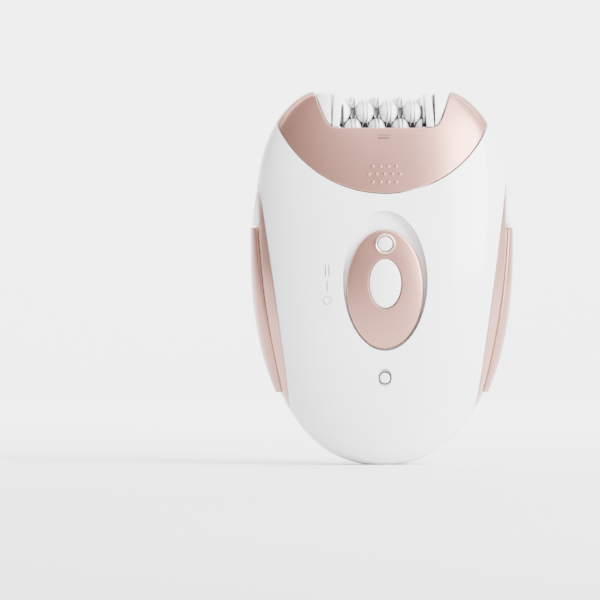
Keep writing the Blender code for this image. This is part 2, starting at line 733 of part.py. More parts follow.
def barrel_disc(i):
    """The disc between tweezer pairs i and i + 1: half of each pair's three lobes."""
    wall = TWEEZER_HALF_GAP + PLATE_THICKNESS + 0.1
    low = max(unit_x(i) + wall, -DRUM_END)
    high = min(unit_x(i + 1) - wall, DRUM_END)
    stations, around = 3, 24
    vertices = []
    for k in range(stations):
        x = low + (high - low) * k / (stations - 1)
        for j in range(around):
            degrees = FIRST_LOBE_ANGLE + 360.0 * j / around
            stand = max(lobe_height(i, x, degrees), lobe_height(i + 1, x, degrees))
            radius = HUB_RADIUS + (LOBE_RADIUS - HUB_RADIUS) * stand
            turn = math.radians(degrees)
            vertices.append((x, -radius * math.cos(turn), DRUM_Z + radius * math.sin(turn)))
    faces = [tuple(range(around)), tuple(range((stations - 1) * around, stations * around))]
    for k in range(stations - 1):
        for j in range(around):
            a, b = k * around + j, k * around + (j + 1) % around
            faces.append((a, b, b + around, a + around))
    disc = new_object("disc", vertices, faces)
    return cut(disc, rod("x", (0.0, DRUM_Z), AXLE_RADIUS + 0.05, -20.0, 20.0, 10))


def tweezer_pair(i):
    """Two steel plates on a common sleeve, which close on a hair between them."""
    middle, near = unit_x(i), TWEEZER_HALF_GAP
    far = near + PLATE_THICKNESS
    bore, sleeve = AXLE_RADIUS + 0.05, 3.2
    profile = [(-far, bore), (-far, PLATE_RADIUS), (-near, PLATE_RADIUS), (-near, sleeve)]
    profile += [(near, sleeve), (near, PLATE_RADIUS), (far, PLATE_RADIUS), (far, bore)]
    return turned([(middle + x, r) for x, r in profile], (0.0, DRUM_Z), 14)


def make_drum():
    """The spinning drum: an axle, seven white discs, six pairs of steel tweezers and the driven gear."""
    frame = empty("drum_axis", (0.0, 0.0, DRUM_Z))
    axle = rod("x", (0.0, DRUM_Z), AXLE_RADIUS, -15.8, 20.8, 10)
    name_piece(axle, "drum_axle", "steel", frame)
    for i in range(TWEEZER_PAIRS + 1):
        name_piece(barrel_disc(i), f"barrel_disc_{i + 1}", "white", frame)
    for i in range(1, TWEEZER_PAIRS + 1):
        name_piece(tweezer_pair(i), f"tweezer_pair_{i}", "steel", frame)
    # A gap of the drum gear faces straight down, where the idler's tooth points up.
    turn = -math.pi / 2 + math.pi / DRUM_TEETH
    gear = spur_gear("x", (0.0, DRUM_Z), DRUM_TEETH, turn, *GEAR_X, AXLE_RADIUS + 0.05)
    name_piece(gear, "drum_gear", "nylon", frame)


def make_gear_train():
    """The idler and the cross shaft, which carry the drive from the motor pinion to the drum."""
    idler_frame = empty("idler_axis", (0.0, 0.0, IDLER_Z))
    idler = spur_gear("x", (0.0, IDLER_Z), IDLER_TEETH, math.pi / 2, *GEAR_X, 0.95)
    name_piece(idler, "idler_gear", "nylon", idler_frame)
    name_piece(rod("x", (0.0, IDLER_Z), 0.9, 14.6, 20.8, 10), "idler_pin", "steel", idler_frame)

    shaft_frame = empty("shaft_axis", (0.0, 0.0, SHAFT_Z))
    # The idler has an even number of teeth, so a tooth points down too and the shaft gear shows it a gap.
    turn = math.pi / 2 + math.pi / SHAFT_TEETH
    gear = spur_gear("x", (0.0, SHAFT_Z), SHAFT_TEETH, turn, *GEAR_X, MOTOR_SHAFT_RADIUS + 0.05)
    name_piece(gear, "shaft_gear", "nylon", shaft_frame)
    name_piece(crown_gear(), "crown_gear", "nylon", shaft_frame)
    shaft = rod("x", (0.0, SHAFT_Z), MOTOR_SHAFT_RADIUS, -7.0, 20.8, 10)
    name_piece(shaft, "cross_shaft", "steel", shaft_frame)

    motor_frame = empty("motor_axis", (0.0, 0.0, MOTOR_Z[0]))
    name_piece(motor_rotor(), "motor_rotor", "steel", motor_frame)
    # A crown tooth stands at y = 0, so the pinion shows it a gap.
    turn = math.pi / MOTOR_TEETH
    pinion = spur_gear("z", (0.0, 0.0), MOTOR_TEETH, turn, 86.5, 89.8, MOTOR_SHAFT_RADIUS + 0.05)
    name_piece(pinion, "motor_pinion", "brass", motor_frame)


# ---------------------------------------------------------------- assembly


def make_head():
    frame = empty("head_seat", (0.0, 0.0, SEAT_Z - SEAT_RADIUS))
    name_piece(head_cover(), "head_cover", "rose_gold", frame)
    name_piece(head_frame(), "head_frame", "white", frame)
    name_piece(head_base(), "head_base", "grey_plastic", frame)
    name_piece(guard_plate(-1), "guard_plate_left", "white", frame)
    name_piece(guard_plate(1), "guard_plate_right", "white", frame)
    name_piece(gear_plate(), "gear_plate", "grey_plastic", frame)


def make_switch():
    frame = empty("slider_path", (0.0, RECESS_FLOOR_Y, SLIDER_Z))
    name_piece(switch_slider(), "switch_slider", "rose_gold", frame)
    name_piece(lamp_lens(), "lamp_lens", "clear", frame)
    press = empty("safety_path", (0.0, RECESS_FLOOR_Y, SAFETY_Z))
    name_piece(safety_button(), "safety_button", "white", press)


def make_sides():
    for side, word in ((-1, "left"), (1, "right")):
        name_piece(side_trim(side), f"side_trim_{word}", "rose_gold")
        name_piece(side_grip(side), f"side_grip_{word}", "rose_gold")
        frame = empty(f"button_path_{word}", (side * 34.0, 0.0, 80.0))
        name_piece(release_button(side), f"release_button_{word}", "white", frame)
        name_piece(coil_spring(side), f"release_spring_{word}", "steel")


def make_works():
    name_piece(seat_deck(), "seat_deck", "grey_plastic")
    name_piece(chassis(), "chassis", "grey_plastic")
    name_piece(motor_can(), "motor_can", "steel")
    name_piece(motor_end_cap(), "motor_end_cap", "dark_plastic")
    name_piece(battery(), "battery_cell", "cell_wrap")
    name_piece(battery_tab(-1), "battery_tab_left", "steel")
    name_piece(battery_tab(1), "battery_tab_right", "steel")
    name_piece(charging_socket(), "charging_socket", "dark_plastic")
    name_piece(circuit_board(), "circuit_board", "board")
    name_piece(slide_switch(), "slide_switch", "dark_plastic")
    lamp = rod("y", (0.0, LED_Z), 1.2, -15.8, BOARD_Y[0] - GAP, 10)
    name_piece(lamp, "lamp_led", "clear")
    front = -half_depth(INDICATOR_Z)
    lens = rod("y", (0.0, INDICATOR_Z), INDICATOR_RADIUS, front - 0.2, front + 3.2, 16)
    name_piece(lens, "indicator_lens", "clear")
    for i, (x, z) in enumerate(SCREWS):
        name_piece(shell_screw(x, z), f"shell_screw_{i + 1}", "steel")


def main():
    for old in list(bpy.data.objects):
        bpy.data.objects.remove(old)
    name_piece(body_shell(-1), "front_shell", "white")
    name_piece(body_shell(1), "rear_shell", "white")
    make_sides()
    make_switch()
    make_works()
    make_head()
    make_drum()
    make_gear_train()


main()
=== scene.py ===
"""Looks for the epilator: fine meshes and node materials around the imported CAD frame.

Sizes are in millimetres in the CAD's own frame (+Z up to the head, -Y out of the front face), and MM turns
them into metres. The body is one egg-shaped form, and its pieces are patches of that form or of an offset of
it. The casing halves are laid out over it as rows of points. The cap is cast onto it from a point inside.
"""

import math

import bmesh
import bpy
import numpy as np
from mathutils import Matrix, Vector

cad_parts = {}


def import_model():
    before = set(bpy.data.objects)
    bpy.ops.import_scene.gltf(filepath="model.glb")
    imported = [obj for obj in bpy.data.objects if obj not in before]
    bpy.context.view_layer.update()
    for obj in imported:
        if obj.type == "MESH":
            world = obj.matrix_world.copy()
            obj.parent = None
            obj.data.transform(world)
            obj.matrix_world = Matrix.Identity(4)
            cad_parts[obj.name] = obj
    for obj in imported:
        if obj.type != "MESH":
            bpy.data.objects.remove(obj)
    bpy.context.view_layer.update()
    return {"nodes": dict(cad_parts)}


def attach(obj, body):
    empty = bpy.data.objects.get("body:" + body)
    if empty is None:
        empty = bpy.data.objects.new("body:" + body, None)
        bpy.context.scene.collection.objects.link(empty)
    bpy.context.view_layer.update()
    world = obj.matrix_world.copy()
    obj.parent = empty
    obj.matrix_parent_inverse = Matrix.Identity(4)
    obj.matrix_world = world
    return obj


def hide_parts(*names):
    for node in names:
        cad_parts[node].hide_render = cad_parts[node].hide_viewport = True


MM = 0.001

# Outline of the body, as in the CAD. The depth is a hair under the CAD's, to keep the finer mesh in its box.
TOP_Z = 118.08
WIDEST_Z, HALF_WIDTH = 70.0, 40.3
WIDTH_UPPER, WIDTH_LOWER = (52.0, 2.9), (70.25, 2.28)
THICKEST_Z, HALF_DEPTH = 55.0, 21.42
DEPTH_TAPER, DEPTH_LOWER = 0.00364, (56.0, 2.3)
SECTION = 2.4
CROWN = 2.0
SEAT_Z, SEAT_RADIUS = 122.0, 36.3
GAP = 0.3
SEAM = 0.12
WALL = 2.0

# Side inlays.
SLICE_LOW, SLICE_HIGH = (19.2, 29.5), (90.5, 39.3)
PANEL_CURVE, PANEL_MID_Z = (37.5, 0.1232, -0.001967), 55.0
GRIP_SHIFT = 1.0
GRIP_EDGE = 0.6
WELL_FLOOR = 36.4
BUTTON_SLOPE = ((76.0, 41.3), (86.0, 39.9))

# Switch.
RECESS_Z, RECESS_HALF, RECESS_FLOOR = 58.1, (13.3, 22.0), -17.4
SLIDER_Z, SLIDER_HALF = 55.5, (12.1, 18.8)
SAFETY_Z, SAFETY_HALF = 57.3, (5.0, 7.7)
LAMP_Z, INDICATOR_Z = 69.7, 27.6

# Head.
DRUM_Z = 108.5
UNIT_PITCH, UNITS = 3.75, 8
LOBE_HALF_LENGTH, LOBE_HALF_ANGLE, LOBE_TOP = 2.78, 37.0, 8.15
FIRST_LOBE = 33.0
SLIT = 0.78
NOTCH = ((21.7, 118.2), (21.2, 116.5), (19.9, 112.6), (18.6, 109.3), (17.4, 107.4), (15.9, 106.4))
# Rows of a casing half along its inner edge, from the foot's hole up to the tip, and how it is evened.
FOOT_ROWS, LOWER_ROWS, OVAL_ROWS, SEAT_ROWS = 5, 44, 88, 60
FIXED_ROWS, EVENING_ROUNDS = 5, 60
SCREWS = ((-21.0, 43.5), (21.0, 43.5), (-21.0, 77.0), (21.0, 77.0))

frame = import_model()
made = []


# ---------------------------------------------------------------- the body's form


def half_width(z):
    z = np.asarray(z, float)
    reach = np.where(z >= WIDEST_Z, WIDTH_UPPER[0], WIDTH_LOWER[0])
    power = np.where(z >= WIDEST_Z, WIDTH_UPPER[1], WIDTH_LOWER[1])
    share = np.clip(np.abs(z - WIDEST_Z) / reach, 0, 0.99999)
    return HALF_WIDTH * (1 - share**power) ** (1 / power)


def half_depth(z):
    z = np.asarray(z, float)
    above = HALF_DEPTH - DEPTH_TAPER * (z - THICKEST_Z) ** 2
    reach, power = DEPTH_LOWER
    share = np.clip((THICKEST_Z - z) / reach, 0, 0.99999)
    return np.where(z > THICKEST_Z, above, HALF_DEPTH * (1 - share**power) ** (1 / power))


OUTLINES = {}


def sizes(z, offset=0.0):
    """Half width and half depth at height z of the form moved out by offset."""
    if offset not in OUTLINES:
        heights = np.linspace(-0.2, 121.0, 2400)
        tables = []
        for outline in (half_width, half_depth):
            size = outline(heights)
            slope = np.gradient(size, heights)
            length = np.sqrt(1 + slope**2)
            moved_z, moved = heights - offset * slope / length, size + offset / length
            order = np.argsort(moved_z)
            tables.append((moved_z[order], moved[order]))
        OUTLINES[offset] = tables
    (wz, w), (dz, d) = OUTLINES[offset]
    z = np.asarray(z, float)
    width, depth = np.interp(z, wz, w), np.interp(z, dz, d)
    rise = np.clip(CROWN - (top_of(offset) - z), 0, CROWN)
    drop = CROWN - np.sqrt(CROWN**2 - rise**2)
    return width - 0.4 * drop, depth - drop


def top_of(offset):
    return TOP_Z + min(offset, 0.0)


def on_front(x, z, offset=0.0, side=-1):
    """Points of the form's front (or back) above the plane point (x, z)."""
    x, z = np.broadcast_arrays(np.asarray(x, float), np.asarray(z, float))
    width, depth = sizes(z, offset)
    share = np.clip(np.abs(x) / width, 0, 1) ** SECTION
    x = np.clip(x, -width, width)
    return np.stack([x, side * depth * (1 - share) ** (1 / SECTION), z], -1)


def on_side(y, z, offset=0.0, side=1):
    """Points of the form's right (or left) side beside the plane point (y, z)."""
    y, z = np.broadcast_arrays(np.asarray(y, float), np.asarray(z, float))
    width, depth = sizes(z, offset)
    share = np.clip(np.abs(y) / depth, 0, 1) ** SECTION
    y = np.clip(y, -depth, depth)
    return np.stack([side * width * (1 - share) ** (1 / SECTION), y, z], -1)


def unit(v):
    return v / np.maximum(np.linalg.norm(v, axis=-1, keepdims=True), 1e-9)


def cast(centre, direction, offset):
    """Where rays from centre leave the form moved out by offset."""
    near = np.zeros(direction.shape[:-1])
    far = np.full(direction.shape[:-1], 120.0)
    for _ in range(34):
        middle = (near + far) / 2
        point = centre + direction * middle[..., None]
        width, depth = sizes(point[..., 2], offset)
        inside = (np.abs(point[..., 0]) / width) ** SECTION + (np.abs(point[..., 1]) / depth) ** SECTION < 1
        inside &= (point[..., 2] < top_of(offset)) & (point[..., 2] > max(0.0, -offset))
        near, far = np.where(inside, middle, near), np.where(inside, far, middle)
    return centre + direction * near[..., None]


def slice_line(z):
    (z0, x0), (z1, x1) = SLICE_LOW, SLICE_HIGH
    return x0 + (np.asarray(z, float) - z0) * (x1 - x0) / (z1 - z0)


def panel_line(z):
    middle, slope, bend = PANEL_CURVE
    rise = np.asarray(z, float) - PANEL_MID_Z
    return middle + slope * rise + bend * rise**2


def root(function, low, high):
    """Where a function that changes sign between low and high is zero."""
    sign = function(low) > 0
    for _ in range(50):
        middle = (low + high) / 2
        low, high = (middle, high) if (function(middle) > 0) == sign else (low, middle)
    return low


# ---------------------------------------------------------------- meshes from rows of points


def finish_mesh(name, vertices, faces, angle=38):
    mesh = bpy.data.meshes.new(name)
    mesh.from_pydata((np.asarray(vertices) * MM).tolist(), [], faces)
    shape = bmesh.new()
    shape.from_mesh(mesh)
    bmesh.ops.remove_doubles(shape, verts=shape.verts, dist=0.002 * MM)
    bmesh.ops.dissolve_degenerate(shape, edges=shape.edges, dist=0.0005 * MM)
    bmesh.ops.recalc_face_normals(shape, faces=shape.faces)
    shape.to_mesh(mesh)
    shape.free()
    mesh.shade_smooth()
    mesh.set_sharp_from_angle(angle=math.radians(angle))
    piece = bpy.data.objects.new(name, mesh)
    bpy.context.scene.collection.objects.link(piece)
    made.append(piece)
    return piece


def skin(name, rows, closed=False, caps=False, angle=38):
    """A mesh through rings of points. The rings close on themselves, end in poles or get caps."""
    count = len(rows[0])
    vertices = np.concatenate(rows)
    faces = []
    last = len(rows) if closed else len(rows) - 1
    for r in range(last):
        a, b = r * count, (r + 1) % len(rows) * count
        for i in range(count):
            j = (i + 1) % count
            faces.append((a + i, a + j, b + j, b + i))
    if caps:
        faces.append(tuple(range(count))[::-1])
        faces.append(tuple(range((len(rows) - 1) * count, len(rows) * count)))
    return finish_mesh(name, vertices, faces, angle)


def rows_between(centre, start, end, offset, count, trim_start=0.0, trim_end=0.0):
    """Rows of points on the form from the loop start to the loop end, stopping short of each by its trim."""
    centre = np.asarray(centre, float)
    start = np.broadcast_to(start, end.shape)
    a, b = unit(start - centre), unit(end - centre)

    def row(share):
        return cast(centre, unit(a * (1 - share)[:, None] + b * share[:, None]), offset)

    samples = [row(np.full(len(end), s)) for s in np.linspace(0, 1, 9)]
    length = sum(np.linalg.norm(q - p, axis=1) for p, q in zip(samples, samples[1:]))
    low = np.clip(trim_start / np.maximum(length, 1e-6), 0, 0.3)
    high = 1 - np.clip(trim_end / np.maximum(length, 1e-6), 0, 0.3)
    return [row(low + (high - low) * s) for s in np.linspace(0, 1, count)]


def rounded(before, corner, target, radius, steps=4):
    """Rows that round a corner from the row before it towards target."""
    after = corner + unit(target - corner) * radius
    return [
        before * (1 - t) ** 2 + corner * (2 * t * (1 - t)) + after * t**2
        for t in np.linspace(0, 1, steps + 1)[1:]
    ]


def spaced(function, count, last=True):
    """count values of function's parameter from 0 to 1 that lie evenly along its curve."""
    t = np.linspace(0, 1, 400)
    points = function(t, 0.0)
    steps = np.r_[0, np.cumsum(np.linalg.norm(np.diff(points, axis=0), axis=1))]
    wanted = np.linspace(0, steps[-1], count + (0 if last else 1))
    return np.interp(wanted if last else wanted[:-1], steps, t)


def patch(name, centre, rim, hole, outer, inner, count, edge=0.25, hole_edge=0.25, angle=38):
    """A thick piece of the form between the loop rim and the loop (or the point) hole."""
    is_ring = callable(hole)
    outer_hole = hole(outer) if is_ring else np.asarray(hole, float)
    inner_hole = hole(inner) if is_ring else np.asarray(hole, float)
    rim_out, rim_in = rim(outer), rim(inner)
    face = rows_between(centre, outer_hole, rim_out, outer, count, hole_edge if is_ring else 0, edge)
    rows = face + rounded(face[-1], rim_out, rim_in, edge)
    back = rows_between(centre, inner_hole, rim_in, inner, max(6, count // 2))
    rows += back[::-1]
    if is_ring:
        rows += rounded(face[0], outer_hole, inner_hole, hole_edge)[::-1]
    return skin(name, rows, closed=is_ring, angle=angle)


def ellipse(centre, halves, turns):
    return np.stack([centre[0] + halves[0] * np.cos(turns), centre[1] + halves[1] * np.sin(turns)], -1)


def grow(outline, distance):
    """A closed outline moved out by distance (in, if it is negative)."""
    ahead, behind = np.roll(outline, -1, axis=0), np.roll(outline, 1, axis=0)
    along = unit(ahead - behind)
    area = np.sum(outline[:, 0] * ahead[:, 1] - ahead[:, 0] * outline[:, 1])
    normal = np.stack([along[:, 1], -along[:, 0]], -1) * (1 if area > 0 else -1)
    return outline + normal * distance


def place(axis, outline, level):
    """Outline points, drawn across an axis, at a level along it."""
    a, b = outline[:, 0], outline[:, 1]
    level = np.broadcast_to(level, a.shape)
    return np.stack({"x": (level, a, b), "y": (a, level, b), "z": (a, b, level)}[axis], -1)


def slab(name, axis, outline, low, high, edge=0.2, steps=3):
    """An outline extruded along an axis, with rounded edges."""
    outline = np.asarray(outline, float)
    rows = []
    for level, sign in ((low, 1), (high, -1)):
        turns = np.linspace(0, math.pi / 2, steps + 1)
        part = [place(axis, grow(outline, -edge * (1 - math.sin(t))), level + sign * edge * (1 - math.cos(t)))
                for t in turns]
        rows += part if sign > 0 else part[::-1]
    return skin(name, rows, caps=True)


def box_outline(a, b, radius, steps=4):
    """A rectangle from two (low, high) pairs, with rounded corners."""
    points = []
    for ca, cb, first in ((a[1] - radius, b[1] - radius, 0), (a[0] + radius, b[1] - radius, 90),
                          (a[0] + radius, b[0] + radius, 180), (a[1] - radius, b[0] + radius, 270)):
        for t in np.radians(np.linspace(first, first + 90, steps + 1)):
            points.append((ca + radius * math.cos(t), cb + radius * math.sin(t)))
    return np.array(points)


def turned(name, axis, centre, profile, count=96, closed=False, angle=38):
    """A profile of (level along the axis, radius) turned about that axis."""
    turns = np.linspace(0, 2 * math.pi, count, endpoint=False)
    rows = []
    for level, radius in profile:
        rows.append(place(axis, ellipse(centre, (max(radius, 0.0), max(radius, 0.0)), turns), level))
    return skin(name, rows, closed=closed, angle=angle)


def soften(profile, radius, steps=3):
    """A profile with its inner corners rounded."""
    points = [np.array(p, float) for p in profile]
    out = [points[0]]
    for before, here, after in zip(points, points[1:], points[2:]):
        r = min(radius, np.linalg.norm(before - here) / 2.1, np.linalg.norm(after - here) / 2.1)
        a, b = here + unit(before - here) * r, here + unit(after - here) * r
        out += [a * (1 - t) ** 2 + here * 2 * t * (1 - t) + b * t**2 for t in np.linspace(0, 1, steps + 1)]
    return [tuple(p) for p in out + [points[-1]]]


def combine(target, cutter, operation="DIFFERENCE"):
    """Applies a Boolean of target with cutter, and removes cutter."""
    modifier = target.modifiers.new(operation, "BOOLEAN")
    modifier.operation = operation
    modifier.solver = "EXACT"
    modifier.object = cutter
    bpy.context.view_layer.update()
    graph = bpy.context.evaluated_depsgraph_get()
    mesh = bpy.data.meshes.new_from_object(target.evaluated_get(graph))
    target.modifiers.clear()
    target.data = mesh
    mesh.shade_smooth()
    mesh.set_sharp_from_angle(angle=math.radians(38))
    made.remove(cutter)
    bpy.data.objects.remove(cutter)
    return target


def join(name, pieces):
    """One object from several pieces."""
    shape = bmesh.new()
    for piece in pieces:
        shape.from_mesh(piece.data)
    mesh = bpy.data.meshes.new(name)
    shape.to_mesh(mesh)
    shape.free()
    for piece in pieces:
        made.remove(piece)
        bpy.data.objects.remove(piece)
    mesh.shade_smooth()
    mesh.set_sharp_from_angle(angle=math.radians(38))
    joined = bpy.data.objects.new(name, mesh)
    bpy.context.scene.collection.objects.link(joined)
    made.append(joined)
    return joined


# ---------------------------------------------------------------- materials


class Nodes:
    """A material's node tree with short ways to add to it."""

    def __init__(self, name):
        self.material = bpy.data.materials.new(name)
        self.material.use_nodes = True
        self.tree = self.material.node_tree
        self.shader = self.tree.nodes["Principled BSDF"]
        self.place = self.add("ShaderNodeTexCoord").outputs["Object"]

    def add(self, kind, **settings):
        node = self.tree.nodes.new(kind)
        for key, value in settings.items():
            setattr(node, key, value)
        return node

    def link(self, source, socket):
        self.tree.links.new(source, socket)

    def noise(self, scale, detail=3.0, stretch=(1, 1, 1)):
        source = self.place
        if stretch != (1, 1, 1):
            mapping = self.add("ShaderNodeMapping")
            mapping.inputs["Scale"].default_value = stretch
            self.link(source, mapping.inputs["Vector"])
            source = mapping.outputs["Vector"]
        noise = self.add("ShaderNodeTexNoise")
        noise.inputs["Scale"].default_value = scale
        noise.inputs["Detail"].default_value = detail
        self.link(source, noise.inputs["Vector"])
        return noise.outputs["Fac"]

    def ramp(self, factor, stops):
        ramp = self.add("ShaderNodeValToRGB")
        elements = ramp.color_ramp.elements
        while len(elements) < len(stops):
            elements.new(0.5)
        for element, (position, colour) in zip(elements, stops):
            element.position = position
            element.color = (*colour, 1.0)
        self.link(factor, ramp.inputs["Fac"])
        return ramp.outputs["Color"]

    def span(self, factor, low, high, start=0.3, end=0.7):
        spread = self.add("ShaderNodeMapRange")
        for socket, value in (("From Min", start), ("From Max", end), ("To Min", low), ("To Max", high)):
            spread.inputs[socket].default_value = value
        self.link(factor, spread.inputs["Value"])
        return spread.outputs["Result"]

    def bump(self, *layers):
        """Bump from (height, distance in metres) layers."""
        normal = None
        for height, distance in layers:
            bump = self.add("ShaderNodeBump")
            bump.inputs["Strength"].default_value = 1.0
            bump.inputs["Distance"].default_value = distance
            self.link(height, bump.inputs["Height"])
            if normal is not None:
                self.link(normal, bump.inputs["Normal"])
            normal = bump.outputs["Normal"]
        self.link(normal, self.shader.inputs["Normal"])

    def set(self, **values):
        for key, value in values.items():
            self.shader.inputs[key.replace("_", " ").title().replace("Ior", "IOR")].default_value = value


def shade(colour, factor):
    return tuple(min(1.0, c * factor) for c in colour)


def plastic(name, colour, roughness, coat=0.0, grain=1400.0, grain_depth=1.2e-6, mottle=45.0, spread=0.03,
            edge_highlight=1.04):
    """Moulded plastic: faint colour drift, uneven gloss, fine grain, painted shade that darkens the colour in
    creases and hollows, and a painted highlight on convex edges that is capped at the full colour.
    """
    n = Nodes(name)
    drift = n.noise(mottle, 4.0)
    base = n.ramp(drift, [(0.3, shade(colour, 1 - spread)), (0.7, shade(colour, 1 + spread))])
    # Painted shade and highlight from pointiness: concave creases and hollows darken, and convex edges
    # lighten up to the full colour.
    edges = n.ramp(n.add("ShaderNodeNewGeometry").outputs["Pointiness"],
                   [(0.47, (0.86, 0.86, 0.86)), (0.5, (1, 1, 1)), (0.56, shade((1, 1, 1), edge_highlight))])
    mix = n.add("ShaderNodeMix", data_type="RGBA", blend_type="MULTIPLY")
    mix.inputs["Factor"].default_value = 0.6
    n.link(base, mix.inputs["A"])
    n.link(edges, mix.inputs["B"])
    n.link(mix.outputs["Result"], n.shader.inputs["Base Color"])
    n.link(n.span(n.noise(mottle * 5, 3.0), roughness * 0.88, roughness * 1.14), n.shader.inputs["Roughness"])
    n.bump((n.noise(grain, 2.0), grain_depth), (n.noise(mottle * 3, 2.0), grain_depth * 2))
    n.set(metallic=0.0, coat_weight=coat, coat_roughness=0.08, ior=1.5)
    return n.material


def lacquer(name, colour, roughness, coat=0.25):
    """Metallic lacquer under a satin clear coat, with a faint drift of colour and gloss."""
    n = Nodes(name)
    n.link(n.ramp(n.noise(55.0, 1.0), [(0.3, shade(colour, 0.975)), (0.7, shade(colour, 1.025))]),
           n.shader.inputs["Base Color"])
    n.link(n.span(n.noise(90.0, 1.0), roughness * 0.95, roughness * 1.06), n.shader.inputs["Roughness"])
    n.set(metallic=0.82, coat_weight=coat, coat_roughness=0.18)
    return n.material


def metal(name, colour, roughness, stretch=(1, 40, 40), scratches=120.0, depth=3e-6):
    """Drawn or stamped metal: streaks along the working direction and smudged gloss."""
    n = Nodes(name)
    streak = n.noise(scratches, 5.0, stretch)
    base = n.ramp(streak, [(0.3, shade(colour, 0.86)), (0.7, shade(colour, 1.08))])
    n.link(base, n.shader.inputs["Base Color"])
    n.link(n.span(n.noise(300.0, 3.0), roughness * 0.8, roughness * 1.25), n.shader.inputs["Roughness"])
    n.bump((streak, depth))
    n.set(metallic=1.0)
    return n.material


def lens(name, colour, roughness, transmission):
    """Clear or milky lens plastic with faint swirls."""
    n = Nodes(name)
    cloud = n.noise(700.0, 2.0)
    n.link(n.ramp(cloud, [(0.3, shade(colour, 0.95)), (0.7, colour)]), n.shader.inputs["Base Color"])
    n.link(n.span(cloud, roughness * 0.8, roughness * 1.3), n.shader.inputs["Roughness"])
    n.bump((n.noise(1500.0, 2.0), 1.5e-6))
    n.set(transmission_weight=transmission, ior=1.49, coat_weight=0.4, coat_roughness=0.03)
    return n.material


def print_and_shade_ink(name, colour):
    """Printed marks, and the painted groove shade on the cap: a thin coat with a faintly uneven edge and
    gloss.
    """
    n = Nodes(name)
    fleck = n.noise(5200.0, 3.0)
    base = n.ramp(fleck, [(0.3, shade(colour, 0.9)), (0.7, shade(colour, 1.1))])
    n.link(base, n.shader.inputs["Base Color"])
    n.link(n.span(fleck, 0.32, 0.5), n.shader.inputs["Roughness"])
    n.bump((fleck, 2e-6))
    return n.material


WHITE = plastic("white_gloss", (0.80, 0.805, 0.815), 0.2, coat=0.35)
INNER_WHITE = plastic("white_inner", (0.80, 0.80, 0.80), 0.34, coat=0.1, grain_depth=3e-6)
DRUM_WHITE = plastic("white_drum", (0.83, 0.83, 0.82), 0.3, coat=0.15, grain_depth=3e-6)
ROSE = lacquer("rose_gold_lacquer", (0.43, 0.215, 0.17), 0.3)
ROSE_TRIM = lacquer("rose_gold_trim", (0.52, 0.28, 0.225), 0.24, coat=0.35)
GREY = plastic("grey_moulding", (0.36, 0.37, 0.38), 0.45, grain=1500.0, grain_depth=6e-6, spread=0.06)
DARK = plastic("dark_moulding", (0.035, 0.036, 0.04), 0.42, grain=1500.0, grain_depth=6e-6, spread=0.15)
NYLON = plastic("natural_nylon", (0.74, 0.72, 0.64), 0.4, grain=1800.0, grain_depth=5e-6, spread=0.05)
STEEL = metal("stamped_steel", (0.60, 0.60, 0.61), 0.24)
TURNED_STEEL = metal("turned_steel", (0.55, 0.55, 0.56), 0.3, (40, 1, 1), 200.0)
BRASS = metal("cut_brass", (0.78, 0.58, 0.27), 0.28, (1, 1, 30))
RING_METAL = metal("ring_metal", (0.80, 0.66, 0.61), 0.12, (1, 1, 1), 900.0, 1e-6)
CLEAR = lens("clear_lens", (0.94, 0.96, 0.97), 0.06, 0.75)
MILKY = lens("milky_lens", (0.88, 0.89, 0.90), 0.16, 0.15)
ROSE_INK = print_and_shade_ink("rose_ink", (0.26, 0.11, 0.085))
GREY_INK = print_and_shade_ink("grey_ink", (0.33, 0.27, 0.25))
# Painted shade: this darkest coat stands in for the shade inside the two engraved grooves on the cap.
GROOVE_SHADE = print_and_shade_ink("painted_groove_shade", (0.09, 0.04, 0.03))
WRAP = plastic("cell_wrap", (0.08, 0.20, 0.42), 0.3, grain=900.0, spread=0.1)
BOARD = plastic("board_resist", (0.02, 0.17, 0.07), 0.35,
                grain=1200.0, grain_depth=8e-6, mottle=300.0, spread=0.3)


def show(piece, body, material, slot, *replaced):
    """Gives a finished piece its material and its body, and hides the CAD nodes it stands for; slot is not
    used.
    """
    piece.data.materials.clear()
    piece.data.materials.append(material)
    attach(piece, body)
    if replaced:
        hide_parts(*replaced)
    return piece


# ---------------------------------------------------------------- casing halves
# Each half is laid out on its right side as rows from an inner edge P (middle line, switch recess, seat arc)
# to the outer edge Q (seam and side slice), then mirrored.
# A place on it is (a, v): a runs along the section from the
# middle line (0) to the side (1), and v is the height, with the flat foot from -1 to 0.

POWER = 2 / SECTION
SECTION_PHI = np.linspace(0, math.pi / 2, 2000)
SECTION_LENGTH = np.r_[0, np.cumsum(np.hypot(np.diff(np.sin(SECTION_PHI) ** POWER),
                                             0.53 * np.diff(np.cos(SECTION_PHI) ** POWER)))]
SECTION_LENGTH /= SECTION_LENGTH[-1]
SPREAD = 54.0
RIM_RADIUS = SEAT_RADIUS + GAP
FOOT_HOLE = 2.9

LEAF_LOW = root(lambda z: half_width(z) - slice_line(z), 5.0, 30.0)
LEAF_HIGH = root(lambda z: half_width(z) - slice_line(z), 60.0, 100.0)


def height_of(v, offset):
    return v - offset * np.clip(1 - v / 30, 0, 1) ** 3


def along(x, z, offset):
    """The place a of the surface point over (x, z)."""
    width = sizes(z, offset)[0]
    return np.interp(np.arcsin(np.clip(x / width, 0, 1) ** (1 / POWER)), SECTION_PHI, SECTION_LENGTH)


def along_seam(z, offset):
    depth = sizes(z, offset)[1]
    return np.interp(np.arccos(np.clip(SEAM / depth, 0, 1) ** (1 / POWER)), SECTION_PHI, SECTION_LENGTH)


